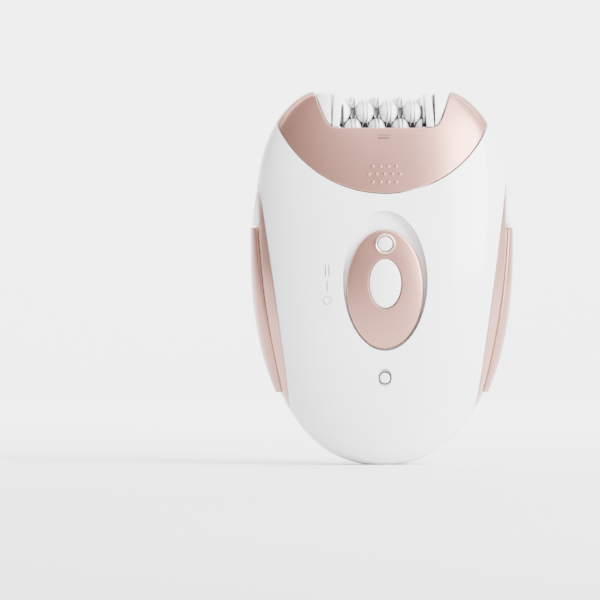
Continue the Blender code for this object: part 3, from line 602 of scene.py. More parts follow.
def casing_point(a, v, offset, side):
    z = height_of(np.maximum(v, 0.0), offset)
    width, depth = sizes(z, offset)
    phi = np.interp(a, SECTION_LENGTH, SECTION_PHI)
    point = np.stack([width * np.sin(phi) ** POWER, side * depth * np.cos(phi) ** POWER, z], -1)
    level = np.clip(1 + v, 0, 1)[..., None]
    flat = point * np.array([1.0, 1.0, 0.0])
    inlet = unit(flat) * FOOT_HOLE
    foot = inlet + (flat - inlet) * level + point * np.array([0, 0, 1.0])
    return np.where(np.asarray(v)[..., None] < 0, foot, point)


def tip_turn(offset, radius):
    """How far round an arc about the seat's centre it meets the outline seen from the front."""
    def beyond(turn):
        return radius * math.sin(turn) - float(sizes(SEAT_Z - radius * math.cos(turn), offset)[0])
    return root(beyond, 0.7, 1.4)


def smooth_along(values, rounds):
    for _ in range(rounds):
        padded = np.pad(values, 1, mode="edge")
        values = (padded[:-2] + 2 * padded[1:-1] + padded[2:]) / 4
    return values


def casing_edges(offset, recess):
    """Edge P with its outward turn, and edge Q, as matching rows of (a, v)."""
    end = tip_turn(offset, RIM_RADIUS)
    arc_low = SEAT_Z - RIM_RADIUS
    p, turn, q = [], [], []

    def middle(low, high, q_low, q_high, count):
        share = np.arange(count) / count
        p.append(np.stack([np.zeros(count), low + (high - low) * share], -1))
        turn.append(np.zeros(count))
        q.append(q_low + (q_high - q_low) * share)

    middle(-1.0, 0.0, -1.0, 0.0, FOOT_ROWS)
    if recess:
        grown = 0.0 if offset == 0.0 else 1.4
        halves = [h + grown for h in RECESS_HALF]
        middle(0.0, RECESS_Z - halves[1], 0.0, 22.0, LOWER_ROWS)
        count = OVAL_ROWS
        around = np.linspace(-math.pi / 2, math.pi / 2, count)
        edge = ellipse((0.0, RECESS_Z), halves, around)
        p.append(np.stack([along(edge[:, 0], edge[:, 1], offset), edge[:, 1]], -1))
        turn.append(around)
        q.append(np.linspace(22.0, 73.0, count))
        top = RECESS_Z + halves[1]
        share = np.arange(1, 9) / 9
        p.append(np.stack([np.zeros(8), top + (arc_low - top) * share], -1))
        turn.append(np.zeros(8))
        q.append(73.0 + 3.5 * share)
    else:
        middle(0.0, arc_low, 0.0, 76.5, 96)
    count = SEAT_ROWS
    around = np.linspace(0, end, count)
    x, z = RIM_RADIUS * np.sin(around), SEAT_Z - RIM_RADIUS * np.cos(around)
    edge = np.stack([along(x, z, offset), z], -1)
    edge[-1, 0] = along_seam(z[-1], offset)
    p.append(edge)
    turn.append(around - math.pi / 2)
    q.append(np.linspace(77.0, z[-1], count))
    p, turn, q = np.concatenate(p), smooth_along(np.concatenate(turn), 14), np.concatenate(q)
    for corner in (LEAF_LOW, LEAF_HIGH):
        q[np.argmin(np.abs(q - corner))] = corner
    z = height_of(np.maximum(q, 0.0), offset)
    outer = along_seam(z, offset)
    sliced = (z > LEAF_LOW - 1) & (z < LEAF_HIGH + 1)
    outer = np.where(sliced, np.minimum(outer, along(slice_line(z), z, offset)), outer)
    q = np.stack([outer, q], -1)
    q[-1] = p[-1]
    return p, turn, q


def casing_grid(p, turn, q, offset, side, columns, trim_p, trim_q):
    """Surface rows that leave P along turn and reach Q level, stopping short of each by its trim."""
    scale = np.array([SPREAD, 1.0])
    start, end = p * scale, q * scale
    reach = np.linalg.norm(end - start, axis=1, keepdims=True)
    lean = np.stack([np.cos(turn), np.sin(turn)], -1)
    first = start + lean * np.minimum(reach * 0.36, 4.5)
    second = end - np.array([1.0, 0.0]) * reach * 0.36
    low = np.clip(trim_p[:, None] / np.maximum(reach, 1e-6), 0, 0.3)
    high = 1 - np.clip(trim_q / np.maximum(reach, 1e-6), 0, 0.3)
    t = (low + (high - low) * np.linspace(0, 1, columns)[None, :])[..., None]
    curve = (start[:, None] * (1 - t) ** 3 + first[:, None] * 3 * t * (1 - t) ** 2
             + second[:, None] * 3 * t**2 * (1 - t) + end[:, None] * t**3)
    body = curve[FIXED_ROWS:]
    for _ in range(EVENING_ROUNDS):
        body[1:-1, 1:-1] = (body[:-2, 1:-1] + body[2:, 1:-1] + body[1:-1, :-2] + body[1:-1, 2:]) / 4
    return casing_point(curve[..., 0] / SPREAD, curve[..., 1], offset, side)


class Sheets:
    """Collects grids of points that share edges, and welds them into one mesh."""

    def __init__(self):
        self.vertices, self.faces, self.count = [], [], 0

    def add(self, grid):
        rows, columns = grid.shape[:2]
        index = np.arange(rows * columns).reshape(rows, columns) + self.count
        quads = np.stack([index[:-1, :-1], index[:-1, 1:], index[1:, 1:], index[1:, :-1]], -1).reshape(-1, 4)
        self.vertices.append(grid.reshape(-1, 3))
        self.faces.append(quads)
        self.count += rows * columns

    def mesh(self, name):
        """The sheets and their mirror image as one mesh."""
        vertices, faces = np.concatenate(self.vertices), np.concatenate(self.faces)
        flipped = vertices * np.array([-1.0, 1.0, 1.0])
        faces = np.concatenate([faces, faces[:, ::-1] + len(vertices)])
        return finish_mesh(name, np.concatenate([vertices, flipped]), faces.tolist())


def casing(name, side, recess, columns=52, edge=0.18, mouth_edge=0.3):
    p_out, turn, q_out = casing_edges(0.0, recess)
    p_in, turn_in, q_in = casing_edges(-WALL, recess)
    rows = len(p_out)
    seat_start = rows - SEAT_ROWS
    trim_p = np.zeros(rows)
    trim_p[seat_start:] = edge
    oval_start = FOOT_ROWS + LOWER_ROWS
    oval_rows = slice(oval_start, oval_start + OVAL_ROWS)
    if recess:
        trim_p[oval_rows] = mouth_edge
    outer = casing_grid(p_out, turn, q_out, 0.0, side, columns, trim_p, edge)
    outer[0] += (outer[1] - outer[0]) * 0.3
    corners = [(seat_start, -edge)]
    if recess:
        corners += [(oval_rows.start, -mouth_edge), (oval_rows.stop - 1, mouth_edge)]
    for row, step in corners:
        outer[row, 0] = casing_point(np.array(0.0), p_out[row, 1] + step, 0.0, side)
    inner = casing_grid(p_in, turn_in, q_in, -WALL, side, columns, np.zeros(rows), 0.0)
    exact = casing_grid(p_out, turn, q_out, 0.0, side, columns, np.zeros(rows), 0.0)

    def boundary(grid):
        return np.concatenate([grid[0], grid[1:, -1], grid[seat_start:-1, 0][::-1]])

    sheets = Sheets()
    sheets.add(outer)
    sheets.add(inner)
    bend = rounded(boundary(outer), boundary(exact), boundary(inner), edge)
    rim = [boundary(outer)] + bend + [boundary(inner)]
    sheets.add(np.stack(rim))
    if recess:
        mouth, face, back = exact[oval_rows, 0], outer[oval_rows, 0], inner[oval_rows, 0]
        around = np.linspace(-math.pi / 2, math.pi / 2, len(mouth))
        pole = np.array([0.0, RECESS_FLOOR, RECESS_Z])

        def floor_ring(shrink, y):
            ring = ellipse((0.0, RECESS_Z), [h - shrink for h in RECESS_HALF], around)
            return np.stack([ring[:, 0], np.full(len(ring), y), ring[:, 1]], -1)

        fillet = 0.9
        tub = [face] + rounded(face, mouth, mouth + np.array([0.0, 1.0, 0.0]), mouth_edge, 5)
        tub += [floor_ring(fillet * (1 - math.cos(t)), RECESS_FLOOR - fillet * (1 - math.sin(t)))
                for t in np.linspace(0, math.pi / 2, 6)]
        tub += [pole + (tub[-1] - pole) * s for s in np.linspace(1, 0, 10)[1:]]
        sheets.add(np.stack(tub))
        behind = back * np.array([1.0, 0.0, 1.0]) + np.array([0.0, RECESS_FLOOR + 1.4, 0.0])
        rear_pole = np.array([0.0, RECESS_FLOOR + 1.4, RECESS_Z])
        rear_rings = [rear_pole + (behind - rear_pole) * s for s in (0.66, 0.33, 0.0)]
        sheets.add(np.stack([back, behind] + rear_rings))
    return sheets.mesh(name)


def front_shell():
    shell = casing("front_casing", -1, True)
    dish = dome("dish", (0.0, float(on_front(0.0, INDICATOR_Z)[1]), INDICATOR_Z), (2.15, 1.2, 3.3), 56)
    return combine(shell, dish)


def dome(name, centre, halves, count):
    """A whole ellipsoid."""
    turns = np.linspace(0, 2 * math.pi, count, endpoint=False)
    rows = []
    for lift in np.linspace(-math.pi / 2, math.pi / 2, count // 2 + 1):
        across = math.cos(lift)
        ring = np.stack([np.cos(turns) * across, np.full(count, math.sin(lift)), np.sin(turns) * across], -1)
        rows.append(np.asarray(centre) + ring * np.asarray(halves))
    return skin(name, rows)


def rear_shell():
    shell = casing("rear_casing", 1, False)
    for x, z in SCREWS:
        surface = float(on_front(x, z, 0.0, 1)[1])
        boss = [(11.4, 0), (11.4, 3.6), (surface - 1.2, 3.6), (surface - 1.2, 0)]
        combine(shell, turned("boss", "y", (x, z), boss, 48), "UNION")
        well = [(13.0, 0.0), (13.0, 2.6)]
        well += [(surface - 0.7 + 0.7 * math.sin(t), 2.6 + 0.7 * (1 - math.cos(t)))
                 for t in np.linspace(0, math.pi / 2, 6)]
        combine(shell, turned("well", "y", (x, z), well + [(surface + 4.0, 3.3), (surface + 4.0, 0.0)], 56))
        combine(shell, turned("shank", "y", (x, z), [(10.0, 0), (10.0, 1.5), (14.0, 1.5), (14.0, 0)], 32))
    return shell


show(front_shell(), "body", WHITE, "white", "front_shell")
show(rear_shell(), "body", WHITE, "white", "rear_shell")


# ---------------------------------------------------------------- plates laid on the form


def web(hole, rim, rows, trim_hole=0.0, trim_rim=0.0):
    """Flat rows of points from the outline (or the point) hole to the outline rim."""
    hole = np.broadcast_to(np.asarray(hole, float), rim.shape)
    reach = np.maximum(np.linalg.norm(rim - hole, axis=1, keepdims=True), 1e-6)
    low, high = np.clip(trim_hole / reach, 0, 0.4), 1 - np.clip(trim_rim / reach, 0, 0.4)
    return [hole + (rim - hole) * (low + (high - low) * s) for s in np.linspace(0, 1, rows)]


def lay(name, front, back, rim, hole, rows=12, edge=0.2, hole_edge=0.2, steps=4):
    """A plate between two surfaces: front and back turn flat points into points in space."""
    is_ring = np.ndim(hole) == 2
    flat = web(hole, rim, rows, hole_edge if is_ring else 0.0, edge)
    face = [front(points) for points in flat]
    under = [back(points) for points in [rim] + flat[-2::-1][: rows - 1]]
    if is_ring:
        under[-1] = back(hole)
    rows_all = face + rounded(face[-1], front(rim), under[0], edge, steps) + under
    if is_ring:
        rows_all += rounded(face[0], front(hole), under[-1], hole_edge, steps)[::-1]
    return skin(name, rows_all, closed=is_ring)


def side_face(side, offset):
    """Surface of the form's side over flat (y, z) points."""
    def surface(points):
        return on_side(points[:, 0], points[:, 1], offset, side)
    return surface


def front_face(offset, crown=None, side=-1):
    """Surface of the form's front over flat (x, z) points, sunk towards its rim by crown(x, z)."""
    def surface(points):
        laid = on_front(points[:, 0], points[:, 1], offset, side)
        if crown is not None:
            laid[:, 1] -= side * crown(points[:, 0], points[:, 1])
        return laid
    return surface


def level_face(y):
    def surface(points):
        return np.stack([points[:, 0], np.full(len(points), y), points[:, 1]], -1)
    return surface


def loop_of(edge, low, high, radius, count=40):
    """A closed (y, z) outline between heights low and high with half widths edge(z) and round corners."""
    turns = np.linspace(0, math.pi / 2, 9)
    top = [(edge(high - radius) - radius + radius * math.cos(t), high - radius + radius * math.sin(t))
           for t in turns]
    foot = [(edge(low + radius) - radius + radius * math.sin(t), low + radius - radius * math.cos(t))
            for t in turns]
    sides = [(float(edge(z)), z) for z in np.linspace(low + radius, high - radius, count)[1:-1]]
    right = foot + sides + top
    return np.array(right + [(-y, z) for y, z in reversed(right)])


def evened(outline, count):
    """A closed outline drawn again with evenly spaced points."""
    closed = np.vstack([outline, outline[:1]])
    reach = np.r_[0, np.cumsum(np.linalg.norm(np.diff(closed, axis=0), axis=1))]
    wanted = np.linspace(0, reach[-1], count, endpoint=False)
    return np.stack([np.interp(wanted, reach, closed[:, k]) for k in (0, 1)], -1)


def facing(outline, centre, loop):
    """For each point of loop, the point of outline in the same direction from centre."""
    centre = np.asarray(centre, float)
    dense = evened(outline, 2400) - centre
    turns = np.arctan2(dense[:, 1], dense[:, 0])
    order = np.argsort(turns)
    wanted = np.arctan2(loop[:, 1] - centre[1], loop[:, 0] - centre[0])
    found = [np.interp(wanted, turns[order], dense[order, k], period=2 * math.pi) for k in (0, 1)]
    return centre + np.stack(found, -1)


# ---------------------------------------------------------------- sides


def edge_at(line, offset):
    """Half width in y, at height z, where the form moved out by offset meets the plane x = line(z)."""
    def edge(z):
        width, depth = sizes(z, offset)
        return depth * (1 - np.clip(line(z) / width, 0, 1) ** SECTION) ** (1 / SECTION)
    return edge


def side_trim(side):
    def plane(z):
        return slice_line(z) + GAP

    edge = edge_at(plane, 0.0)
    low = root(lambda z: half_width(z) - plane(z), 5.0, 30.0)
    high = root(lambda z: half_width(z) - plane(z), 60.0, 100.0)
    heights = low + (high - low) * (0.5 - 0.5 * np.cos(np.linspace(0, math.pi, 200)))
    right = np.stack([edge(heights), heights], -1)
    leaf = evened(np.concatenate([right, right[-2:0:-1] * np.array([-1.0, 1.0])]), 360)
    window = loop_of(lambda z: edge_at(panel_line, 0.0)(z) + GAP, 75.3, 86.5, 1.6)
    window = facing(window, (0.0, 80.6), leaf)

    def back(points):
        outer = on_side(points[:, 0], points[:, 1], 0.0, 1)
        outer[:, 0] = side * np.maximum(outer[:, 0] - WALL, plane(points[:, 1]))
        return outer

    return lay("side_stripe", side_face(side, 0.0), back, leaf, window, 30, 0.15, 0.25)


def side_grip(side):
    def line(z):
        return panel_line(z) + GRIP_SHIFT

    edge = edge_at(line, GRIP_EDGE)
    rim = evened(loop_of(edge, 22.9, 75.1, 1.8, 80), 300)

    def front(points):
        low, high = (on_side(points[:, 0], points[:, 1], rise, side) for rise in (GRIP_EDGE, 1.38))
        across = np.clip(np.abs(points[:, 0]) / edge(np.clip(points[:, 1], 23.0, 75.0)), 0, 1)
        return low + (high - low) * (1 - across**2.5)[:, None]

    def back(points):
        under = on_side(points[:, 0], points[:, 1], 0.1, 1)
        under[:, 0] *= side
        return under

    return lay("side_panel", front, back, rim, (0.0, 50.0), 40, 0.3, steps=6)


def button_outline():
    """The release button seen from the side."""
    return evened(loop_of(edge_at(panel_line, 0.0), 75.6, 86.2, 1.4), 160)


def cut_wells(shell):
    """The wells in a casing half that the pressed release buttons sink into."""
    outline = grow(button_outline(), GAP)
    for side in (-1, 1):
        combine(shell, slab("well", "x", outline, *sorted((side * WELL_FLOOR, side * 60.0)), 0.1))


def release_button(side):
    rim = button_outline()
    (z0, x0), (z1, x1) = BUTTON_SLOPE

    def front(points):
        face = on_side(points[:, 0], points[:, 1], 1.08, side)
        limit = x0 + (points[:, 1] - z0) * (x1 - x0) / (z1 - z0)
        # A soft minimum of the bulging form and the sloping face.
        bulge = np.abs(face[:, 0])
        face[:, 0] = side * -np.log(np.exp(-5 * bulge) + np.exp(-5 * limit)) / 5
        return face

    def back(points):
        return np.stack([np.full(len(points), side * 38.6), points[:, 0], points[:, 1]], -1)

    cap = lay("release_cap", front, back, rim, (0.0, 80.6), 24, 0.35, steps=6)
    stem = slab("stem", "x", box_outline((-4.0, 4.0), (76.5, 85.5), 1.0), *sorted((side * 33.8, side * 39.6)))
    plate = box_outline((-7.2, 7.2), (74.4, 88.0), 1.5)
    flange = slab("flange", "x", plate, *sorted((side * 32.6, side * 34.4)))
    return combine(combine(cap, stem, "UNION"), flange, "UNION")


for shell in (bpy.data.objects["front_casing"], bpy.data.objects["rear_casing"]):
    cut_wells(shell)

for side, word in ((-1, "left"), (1, "right")):
    show(side_trim(side), "body", ROSE_TRIM, "rose_gold", f"side_trim_{word}")
    show(side_grip(side), "body", ROSE, "rose_gold", f"side_grip_{word}")
    show(release_button(side), f"release_{word}", WHITE, "white", f"release_button_{word}")


# ---------------------------------------------------------------- switch


def around_switch(count, phase=0.5):
    return 2 * math.pi * (np.arange(count) + phase) / count


def slider():
    turns = around_switch(200)
    rim = ellipse((0.0, SLIDER_Z), SLIDER_HALF, turns)
    seat_halves = [h + GAP for h in SAFETY_HALF]
    seat = facing(ellipse((0.0, SAFETY_Z), seat_halves, turns), (0.0, SAFETY_Z), rim)

    def crown(x, z):
        return 0.75 * ((x / SLIDER_HALF[0]) ** 2 + ((z - SLIDER_Z) / SLIDER_HALF[1]) ** 2) ** 1.5

    plate = lay("switch_plate", front_face(0.18, crown), level_face(-17.7), rim, seat, 26, 0.7, 0.25, steps=7)
    under_seat = ellipse((0.0, SAFETY_Z), [h + 0.8 for h in seat_halves], turns)
    floor = slab("seat_floor", "y", under_seat, -19.1, -17.8)
    combine(plate, floor, "UNION")
    lamp_y = -float(half_depth(LAMP_Z))
    lamp_well = [(-40, 0), (-40, 2.6), (-18.6, 2.6), (-18.6, 0)]
    combine(plate, turned("lamp_well", "y", (0.0, LAMP_Z), lamp_well, 64))
    ring = [(lamp_y + rise, radius) for rise, radius in
            ((-0.05, 3.3), (-0.6, 3.1), (-0.66, 2.9), (-0.55, 2.62), (0.1, 2.5))]
    collar = soften([(-18.9, 2.5), (-18.9, 3.3)] + ring + [(-18.9, 2.5)], 0.12, 3)
    return plate, turned("lamp_collar", "y", (0.0, LAMP_Z), collar[:-1], 96, closed=True)


def lamp_lens():
    lamp_y = -float(half_depth(LAMP_Z))
    bulge = [(lamp_y - 0.2 - 0.55 * math.cos(t), 2.25 * math.sin(t)) for t in np.linspace(0, math.pi / 2, 12)]
    centre = [(lamp_y - 0.77 + 0.1 * (r / 1.2) ** 4, r) for r in np.linspace(0, 1.2, 8)]
    profile = centre + bulge[7:] + [(-18.8, 2.3), (-18.8, 0.0)]
    return turned("lamp_glass", "y", (0.0, LAMP_Z), profile, 72)


def safety_button():
    rim = ellipse((0.0, SAFETY_Z), SAFETY_HALF, around_switch(128))

    def crown(x, z):
        return 0.62 * ((x / SAFETY_HALF[0]) ** 2 + ((z - SAFETY_Z) / SAFETY_HALF[1]) ** 2) ** 1.2

    front = front_face(0.46, crown)
    return lay("safety_cap", front, level_face(-20.0), rim, (0.0, SAFETY_Z), 18, 0.35, steps=5)


plate, collar = slider()
show(plate, "slider", ROSE, "rose_gold", "switch_slider")
show(collar, "slider", RING_METAL, "rose_gold", "switch_slider")
show(lamp_lens(), "slider", MILKY, "clear", "lamp_lens")
show(safety_button(), "safety", WHITE, "white", "safety_button")


# ---------------------------------------------------------------- marks, charge light, inlet, screws


def stroke(x, low, high, width):
    """Outline of an upright stroke with round ends."""
    radius = width / 2
    turns = np.linspace(0, math.pi, 9)
    top = [(x + radius * math.cos(t), high - radius + radius * math.sin(t)) for t in turns]
    foot = [(x - radius * math.cos(t), low + radius - radius * math.sin(t)) for t in turns]
    return evened(np.array(top + foot), 48)


def mark(name, rim, hole, material, body="body", slot="rose_gold"):
    piece = lay(name, front_face(0.035), front_face(-0.12), rim, hole, 4, 0.03, 0.03, 2)
    show(piece, body, material, slot)


def level_stroke(z, length, width):
    """Outline of a level stroke on the middle line."""
    return stroke(z, -length / 2, length / 2, width)[:, ::-1]


MARK_X = -18.2
mark("mark_two_a", stroke(MARK_X - 0.55, 59.4, 63.2, 0.34), (MARK_X - 0.55, 61.3), ROSE_INK)
mark("mark_two_b", stroke(MARK_X + 0.55, 59.4, 63.2, 0.34), (MARK_X + 0.55, 61.3), ROSE_INK)
mark("mark_one", stroke(MARK_X, 54.7, 58.1, 0.34), (MARK_X, 56.4), ROSE_INK)
MARK_RING = around_switch(64)
mark("mark_off", ellipse((MARK_X, 52.0), (1.45, 1.45), MARK_RING),
     ellipse((MARK_X, 52.0), (1.12, 1.12), MARK_RING),
     GREY_INK)


def charge_light():
    face = float(on_front(0.0, INDICATOR_Z)[1])
    profile = [(face + 0.05, 0.0), (face + 0.06, 0.8), (face + 0.12, 1.3), (face + 0.22, 1.6),
               (face + 0.4, 1.68),
               (face + 3.4, 1.68), (face + 3.4, 0.0)]
    lens_piece = turned("charge_lens", "y", (0.0, INDICATOR_Z), soften(profile, 0.15), 64)
    ring = soften([(face + 0.9, 1.7), (face + 0.12, 1.72), (face + 0.05, 1.88), (face + 0.16, 2.06),
                   (face + 0.9, 2.08), (face + 0.9, 1.7)], 0.06, 3)[:-1]
    ring_piece = turned("charge_ring", "y", (0.0, INDICATOR_Z), ring, 72, closed=True)
    return lens_piece, ring_piece


charge_lens, charge_ring = charge_light()
show(charge_lens, "body", MILKY, "clear", "indicator_lens")
show(charge_ring, "body", DARK, "dark_plastic")


def charging_socket():
    """The barrel inlet in the foot: a rounded lip, a bore and a centre pin."""
    shell = [(0.45, 1.95), (0.35, 2.2), (0.45, 2.5), (1.2, 2.6), (9.5, 2.6), (9.5, 1.75), (0.9, 1.75)]
    barrel = turned("inlet_barrel", "z", (0.0, 0.0), soften(shell + [shell[0]], 0.1)[:-1], 72, closed=True)
    disc = soften([(8.6, 0), (8.6, 1.9), (9.6, 1.9), (9.6, 0)], 0.1)
    floor = turned("inlet_floor", "z", (0.0, 0.0), disc, 48)
    pin_tip = [(1.6 + 0.6 * (1 - math.cos(t)), 0.6 * math.sin(t)) for t in np.linspace(0, math.pi / 2, 7)]
    pin = turned("inlet_pin", "z", (0.0, 0.0), pin_tip + [(8.8, 0.6), (8.8, 0.0)], 32)
    return barrel, floor, pin


def screw(number, x, z):
    """A pan-head screw with a cross recess."""
    seat_y = 13.3
    top = [(seat_y + 1.5 - 0.35 * (r / 2.1) ** 3, r) for r in np.linspace(0.0, 2.1, 8)]
    profile = top + [(seat_y + 0.6, 2.25), (seat_y + 0.05, 2.2), (seat_y, 0.95)]
    for turn in np.arange(0, 20.4, 0.6):
        profile += [(seat_y - turn - 0.2, 0.95), (seat_y - turn - 0.5, 0.78)]
    head = turned(f"screw_{number}", "y", (x, z), profile + [(-8.0, 0.0)], 40)
    long = box_outline((x - 1.3, x + 1.3), (z - 0.27, z + 0.27), 0.12)
    tall = box_outline((x - 0.27, x + 0.27), (z - 1.3, z + 1.3), 0.12)
    for outline in (long, tall):
        combine(head, slab("recess", "y", outline, seat_y + 0.6, seat_y + 4.0, 0.05))
    return head


barrel, inlet_floor, pin = charging_socket()
show(barrel, "body", DARK, "dark_plastic", "charging_socket")
show(inlet_floor, "body", DARK, "dark_plastic", "charging_socket")
show(pin, "body", STEEL, "steel", "charging_socket")
for number, (x, z) in enumerate(SCREWS, 1):
    show(screw(number, x, z), "body", STEEL, "steel", f"shell_screw_{number}")


# ---------------------------------------------------------------- head cover

NOTCH_CORNER = 2.4


def notch_half():
    """The opening's right half seen from the front, from the middle of its lower edge up its side."""
    side = np.array(NOTCH[::-1], float)
    start, corner = np.array([0.0, side[0][1]]), side[0]
    turn_in, turn_out = corner - np.array([NOTCH_CORNER, 0.0]), corner + unit(side[1] - corner) * 1.2
    bend = [turn_in * (1 - t) ** 2 + corner * 2 * t * (1 - t) + turn_out * t**2 for t in np.linspace(0, 1, 9)]
    line = np.vstack([[start], bend, side[1:]])
    reach = np.r_[0, np.cumsum(np.linalg.norm(np.diff(line, axis=0), axis=1))]
    share = np.linspace(0, reach[-1], 120)
    return np.stack([np.interp(share, reach, line[:, k]) for k in (0, 1)], -1)


NOTCH_LINE = notch_half()


def cover_loops(radius, columns):
    """The cap's lower and upper edges as functions of the offset, laid out as four matching quarters."""

    def quarter(point, count):
        return spaced(lambda t, offset: point(t, offset, -1), count, last=False)

    def low_point(t, offset, side):
        end = tip_turn(offset, radius)
        return on_front(radius * np.sin(end * t), SEAT_Z - radius * np.cos(end * t), offset, side)

    def high_point(t, offset, side):
        top = NOTCH_LINE.copy()
        top[:, 1] = np.minimum(top[:, 1], top_of(offset) - 0.02)
        up = on_front(top[:, 0], top[:, 1], offset, side)
        across = up[-1] * np.stack([np.ones(24), np.linspace(1, 0, 24), np.ones(24)], -1)
        line = np.vstack([up, across[1:]])
        reach = np.r_[0, np.cumsum(np.linalg.norm(np.diff(line, axis=0), axis=1))]
        return np.stack([np.interp(t * reach[-1], reach, line[:, k]) for k in range(3)], -1)

    def loop(point):
        share = quarter(point, columns)

        def points(offset):
            front = point(np.r_[share, 1.0], offset, -1)
            back = point(np.r_[share, 1.0], offset, 1)
            mirror = np.array([-1.0, 1.0, 1.0])
            right_front, right_back = front[:-1], back[:0:-1]
            left_back, left_front = (back * mirror)[:-1], (front * mirror)[:0:-1]
            return np.concatenate([right_front, right_back, left_back, left_front])

        return points

    return loop(low_point), loop(high_point)


NUB_Z, NUB_PITCH, NUB_RADIUS = 91.6, 2.44, 0.62


def nub(x, z):
    """A low round bump on the cap's front."""
    face = float(on_front(x, z)[1])
    slope = unit(np.array([0.0, -1.0, float(half_depth(z - 0.5) - half_depth(z + 0.5))]))
    turns = np.linspace(0, 2 * math.pi, 28, endpoint=False)
    rows = []
    for share, rise in ((0, 0.4), (0.3, 0.385), (0.55, 0.33), (0.75, 0.23), (0.9, 0.12),
                        (1.0, -0.05), (1.0, -0.6)):
        ring = np.stack([np.cos(turns), np.zeros(28), np.sin(turns)], -1) * NUB_RADIUS * share
        rows.append(np.array([x, face, z]) + ring + slope * rise)
    return skin("nub", rows + [np.broadcast_to(rows[-1].mean(0), rows[-1].shape)])


def head_cover():
    low, high = cover_loops(SEAT_RADIUS, 110)
    return patch("cap", (0.0, 0.0, 102.0), low, high, 0.0, -WALL, 60, edge=0.35, hole_edge=0.28)


show(head_cover(), "head", ROSE, "rose_gold", "head_cover")
# Painted shade: two thin dark strips on the cap stand in for the shade inside two engraved grooves.
mark("cap_mark_lower", level_stroke(103.2, 4.0, 0.5), (0.0, 103.2), GROOVE_SHADE, "head")
mark("cap_mark_upper", level_stroke(104.1, 4.0, 0.3), (0.0, 104.1), GROOVE_SHADE, "head")
nubs = []
for row, count in ((-1, 4), (0, 5), (1, 4)):
    for i in range(count):
        nubs.append(nub((i - (count - 1) / 2) * NUB_PITCH, NUB_Z + row * NUB_PITCH))
show(join("cap_nubs", nubs), "head", ROSE, "rose_gold")


# ---------------------------------------------------------------- drum


def unit_x(i):
    return (i - (UNITS - 1) / 2) * UNIT_PITCH


def unit_turn(i):
    return FIRST_LOBE - 60.0 * (i % 2)


def stand(i, x, degrees):
    """How far, from 0 to 1, the three lobes of unit i stand out."""
    away = (degrees - unit_turn(i) + 60.0) % 120.0 - 60.0
    reach = (np.abs(x - unit_x(i)) / LOBE_HALF_LENGTH) ** 2.2 + (np.abs(away) / LOBE_HALF_ANGLE) ** 2.2
    return np.clip(1 - reach, 0, 1) ** 0.42


def on_drum(x, radius, degrees):
    turn = np.radians(degrees)
    along_axle = np.broadcast_to(x, turn.shape)
    return np.stack([along_axle, -radius * np.cos(turn), DRUM_Z + radius * np.sin(turn)], -1)


DRUM_AROUND = np.linspace(0, 360, 216, endpoint=False)
HUB = 5.2
DRUM_END = 12.9
AXLE_BORE, PLATE_BORE = 1.6, 1.7
RIM_STEP, RIM_SHARE = 0.06, 0.96


def bore_row(x, radius=AXLE_BORE):
    """A ring of points at x round the axle."""
    return on_drum(x, np.full(len(DRUM_AROUND), radius), DRUM_AROUND)


def drum_disc(i):
    """One white disc: the facing halves of the lobes of units i and i + 1, on a hub."""
    low = max(unit_x(i) + SLIT, -DRUM_END)
    high = min(unit_x(i + 1) - SLIT, DRUM_END)
    rows = [bore_row(low)]
    stations = np.linspace(low, high, 26)
    last = len(stations) - 1
    for k, x in enumerate(stations):
        height = np.maximum(stand(i, x, DRUM_AROUND), stand(i + 1, x, DRUM_AROUND))
        radius = HUB + (LOBE_TOP - HUB) * height
        rim = on_drum(x, np.minimum(radius, HUB + (radius - HUB) * RIM_SHARE), DRUM_AROUND)
        if k == 0:
            rows += [rim, on_drum(x + RIM_STEP, radius, DRUM_AROUND)]
        elif k == last:
            rows += [on_drum(x - RIM_STEP, radius, DRUM_AROUND), rim]
        else:
            rows.append(on_drum(x, radius, DRUM_AROUND))
    rows.append(bore_row(high))
    return skin(f"disc_{i + 1}", rows, closed=True, angle=50)


RIB = 0.42


def drum_rib(i):
    """The white bar between the two steel plates of one pair."""
    rows = [bore_row(unit_x(i) - RIB)]
    for x, drop in ((-RIB, 0.2), (-RIB + 0.1, 0.04), (0.0, 0.0), (RIB - 0.1, 0.04), (RIB, 0.2)):
        height = stand(i, unit_x(i), DRUM_AROUND)
        rows.append(on_drum(unit_x(i) + x, HUB + (LOBE_TOP - drop - HUB) * height, DRUM_AROUND))
    rows.append(bore_row(unit_x(i) + RIB))
    return skin(f"rib_{i}", rows, closed=True, angle=50)


def tweezer_plates(i):
    """The two steel plates of a pair, which flare apart between the lobes."""
    plates = []
    away = np.abs((DRUM_AROUND - unit_turn(i) + 60.0) % 120.0 - 60.0)
    height = np.clip((58.0 - away) / 22.0, 0, 1)
    height = height * height * (3 - 2 * height)
    for side in (-1, 1):
        middle = unit_x(i) + side * (0.6 + 0.5 * (1 - height))
        radius = 5.5 + 2.3 * height
        rows = [bore_row(middle - 0.1, PLATE_BORE)]
        for half, inward in ((-0.1, -0.05), (-0.05, 0.0), (0.05, 0.0), (0.1, -0.05)):
            rows.append(on_drum(middle + half, radius + inward, DRUM_AROUND))
        rows.append(bore_row(middle + 0.1, PLATE_BORE))
        plates.append(skin("plate", rows, closed=True, angle=50))
    return join(f"tweezers_{i}", plates)


def drum_core():
    """The dark sleeve under the lobes, with a groove at every pair; its dark colour is partly the hub's own
    and partly painted shade for the deep gaps between the lobes.
    """
    profile = [(-DRUM_END + 0.1, 1.6)]
    for x in np.arange(-DRUM_END + 0.1, DRUM_END, 0.15):
        near = min(abs(x - unit_x(i)) for i in range(UNITS))
        profile.append((x, 5.75 - 0.35 * max(0.0, 1 - near / 1.2)))
    profile.append((DRUM_END - 0.1, 1.6))
    return turned("drum_core", "x", (0.0, DRUM_Z), profile, 120, closed=True)


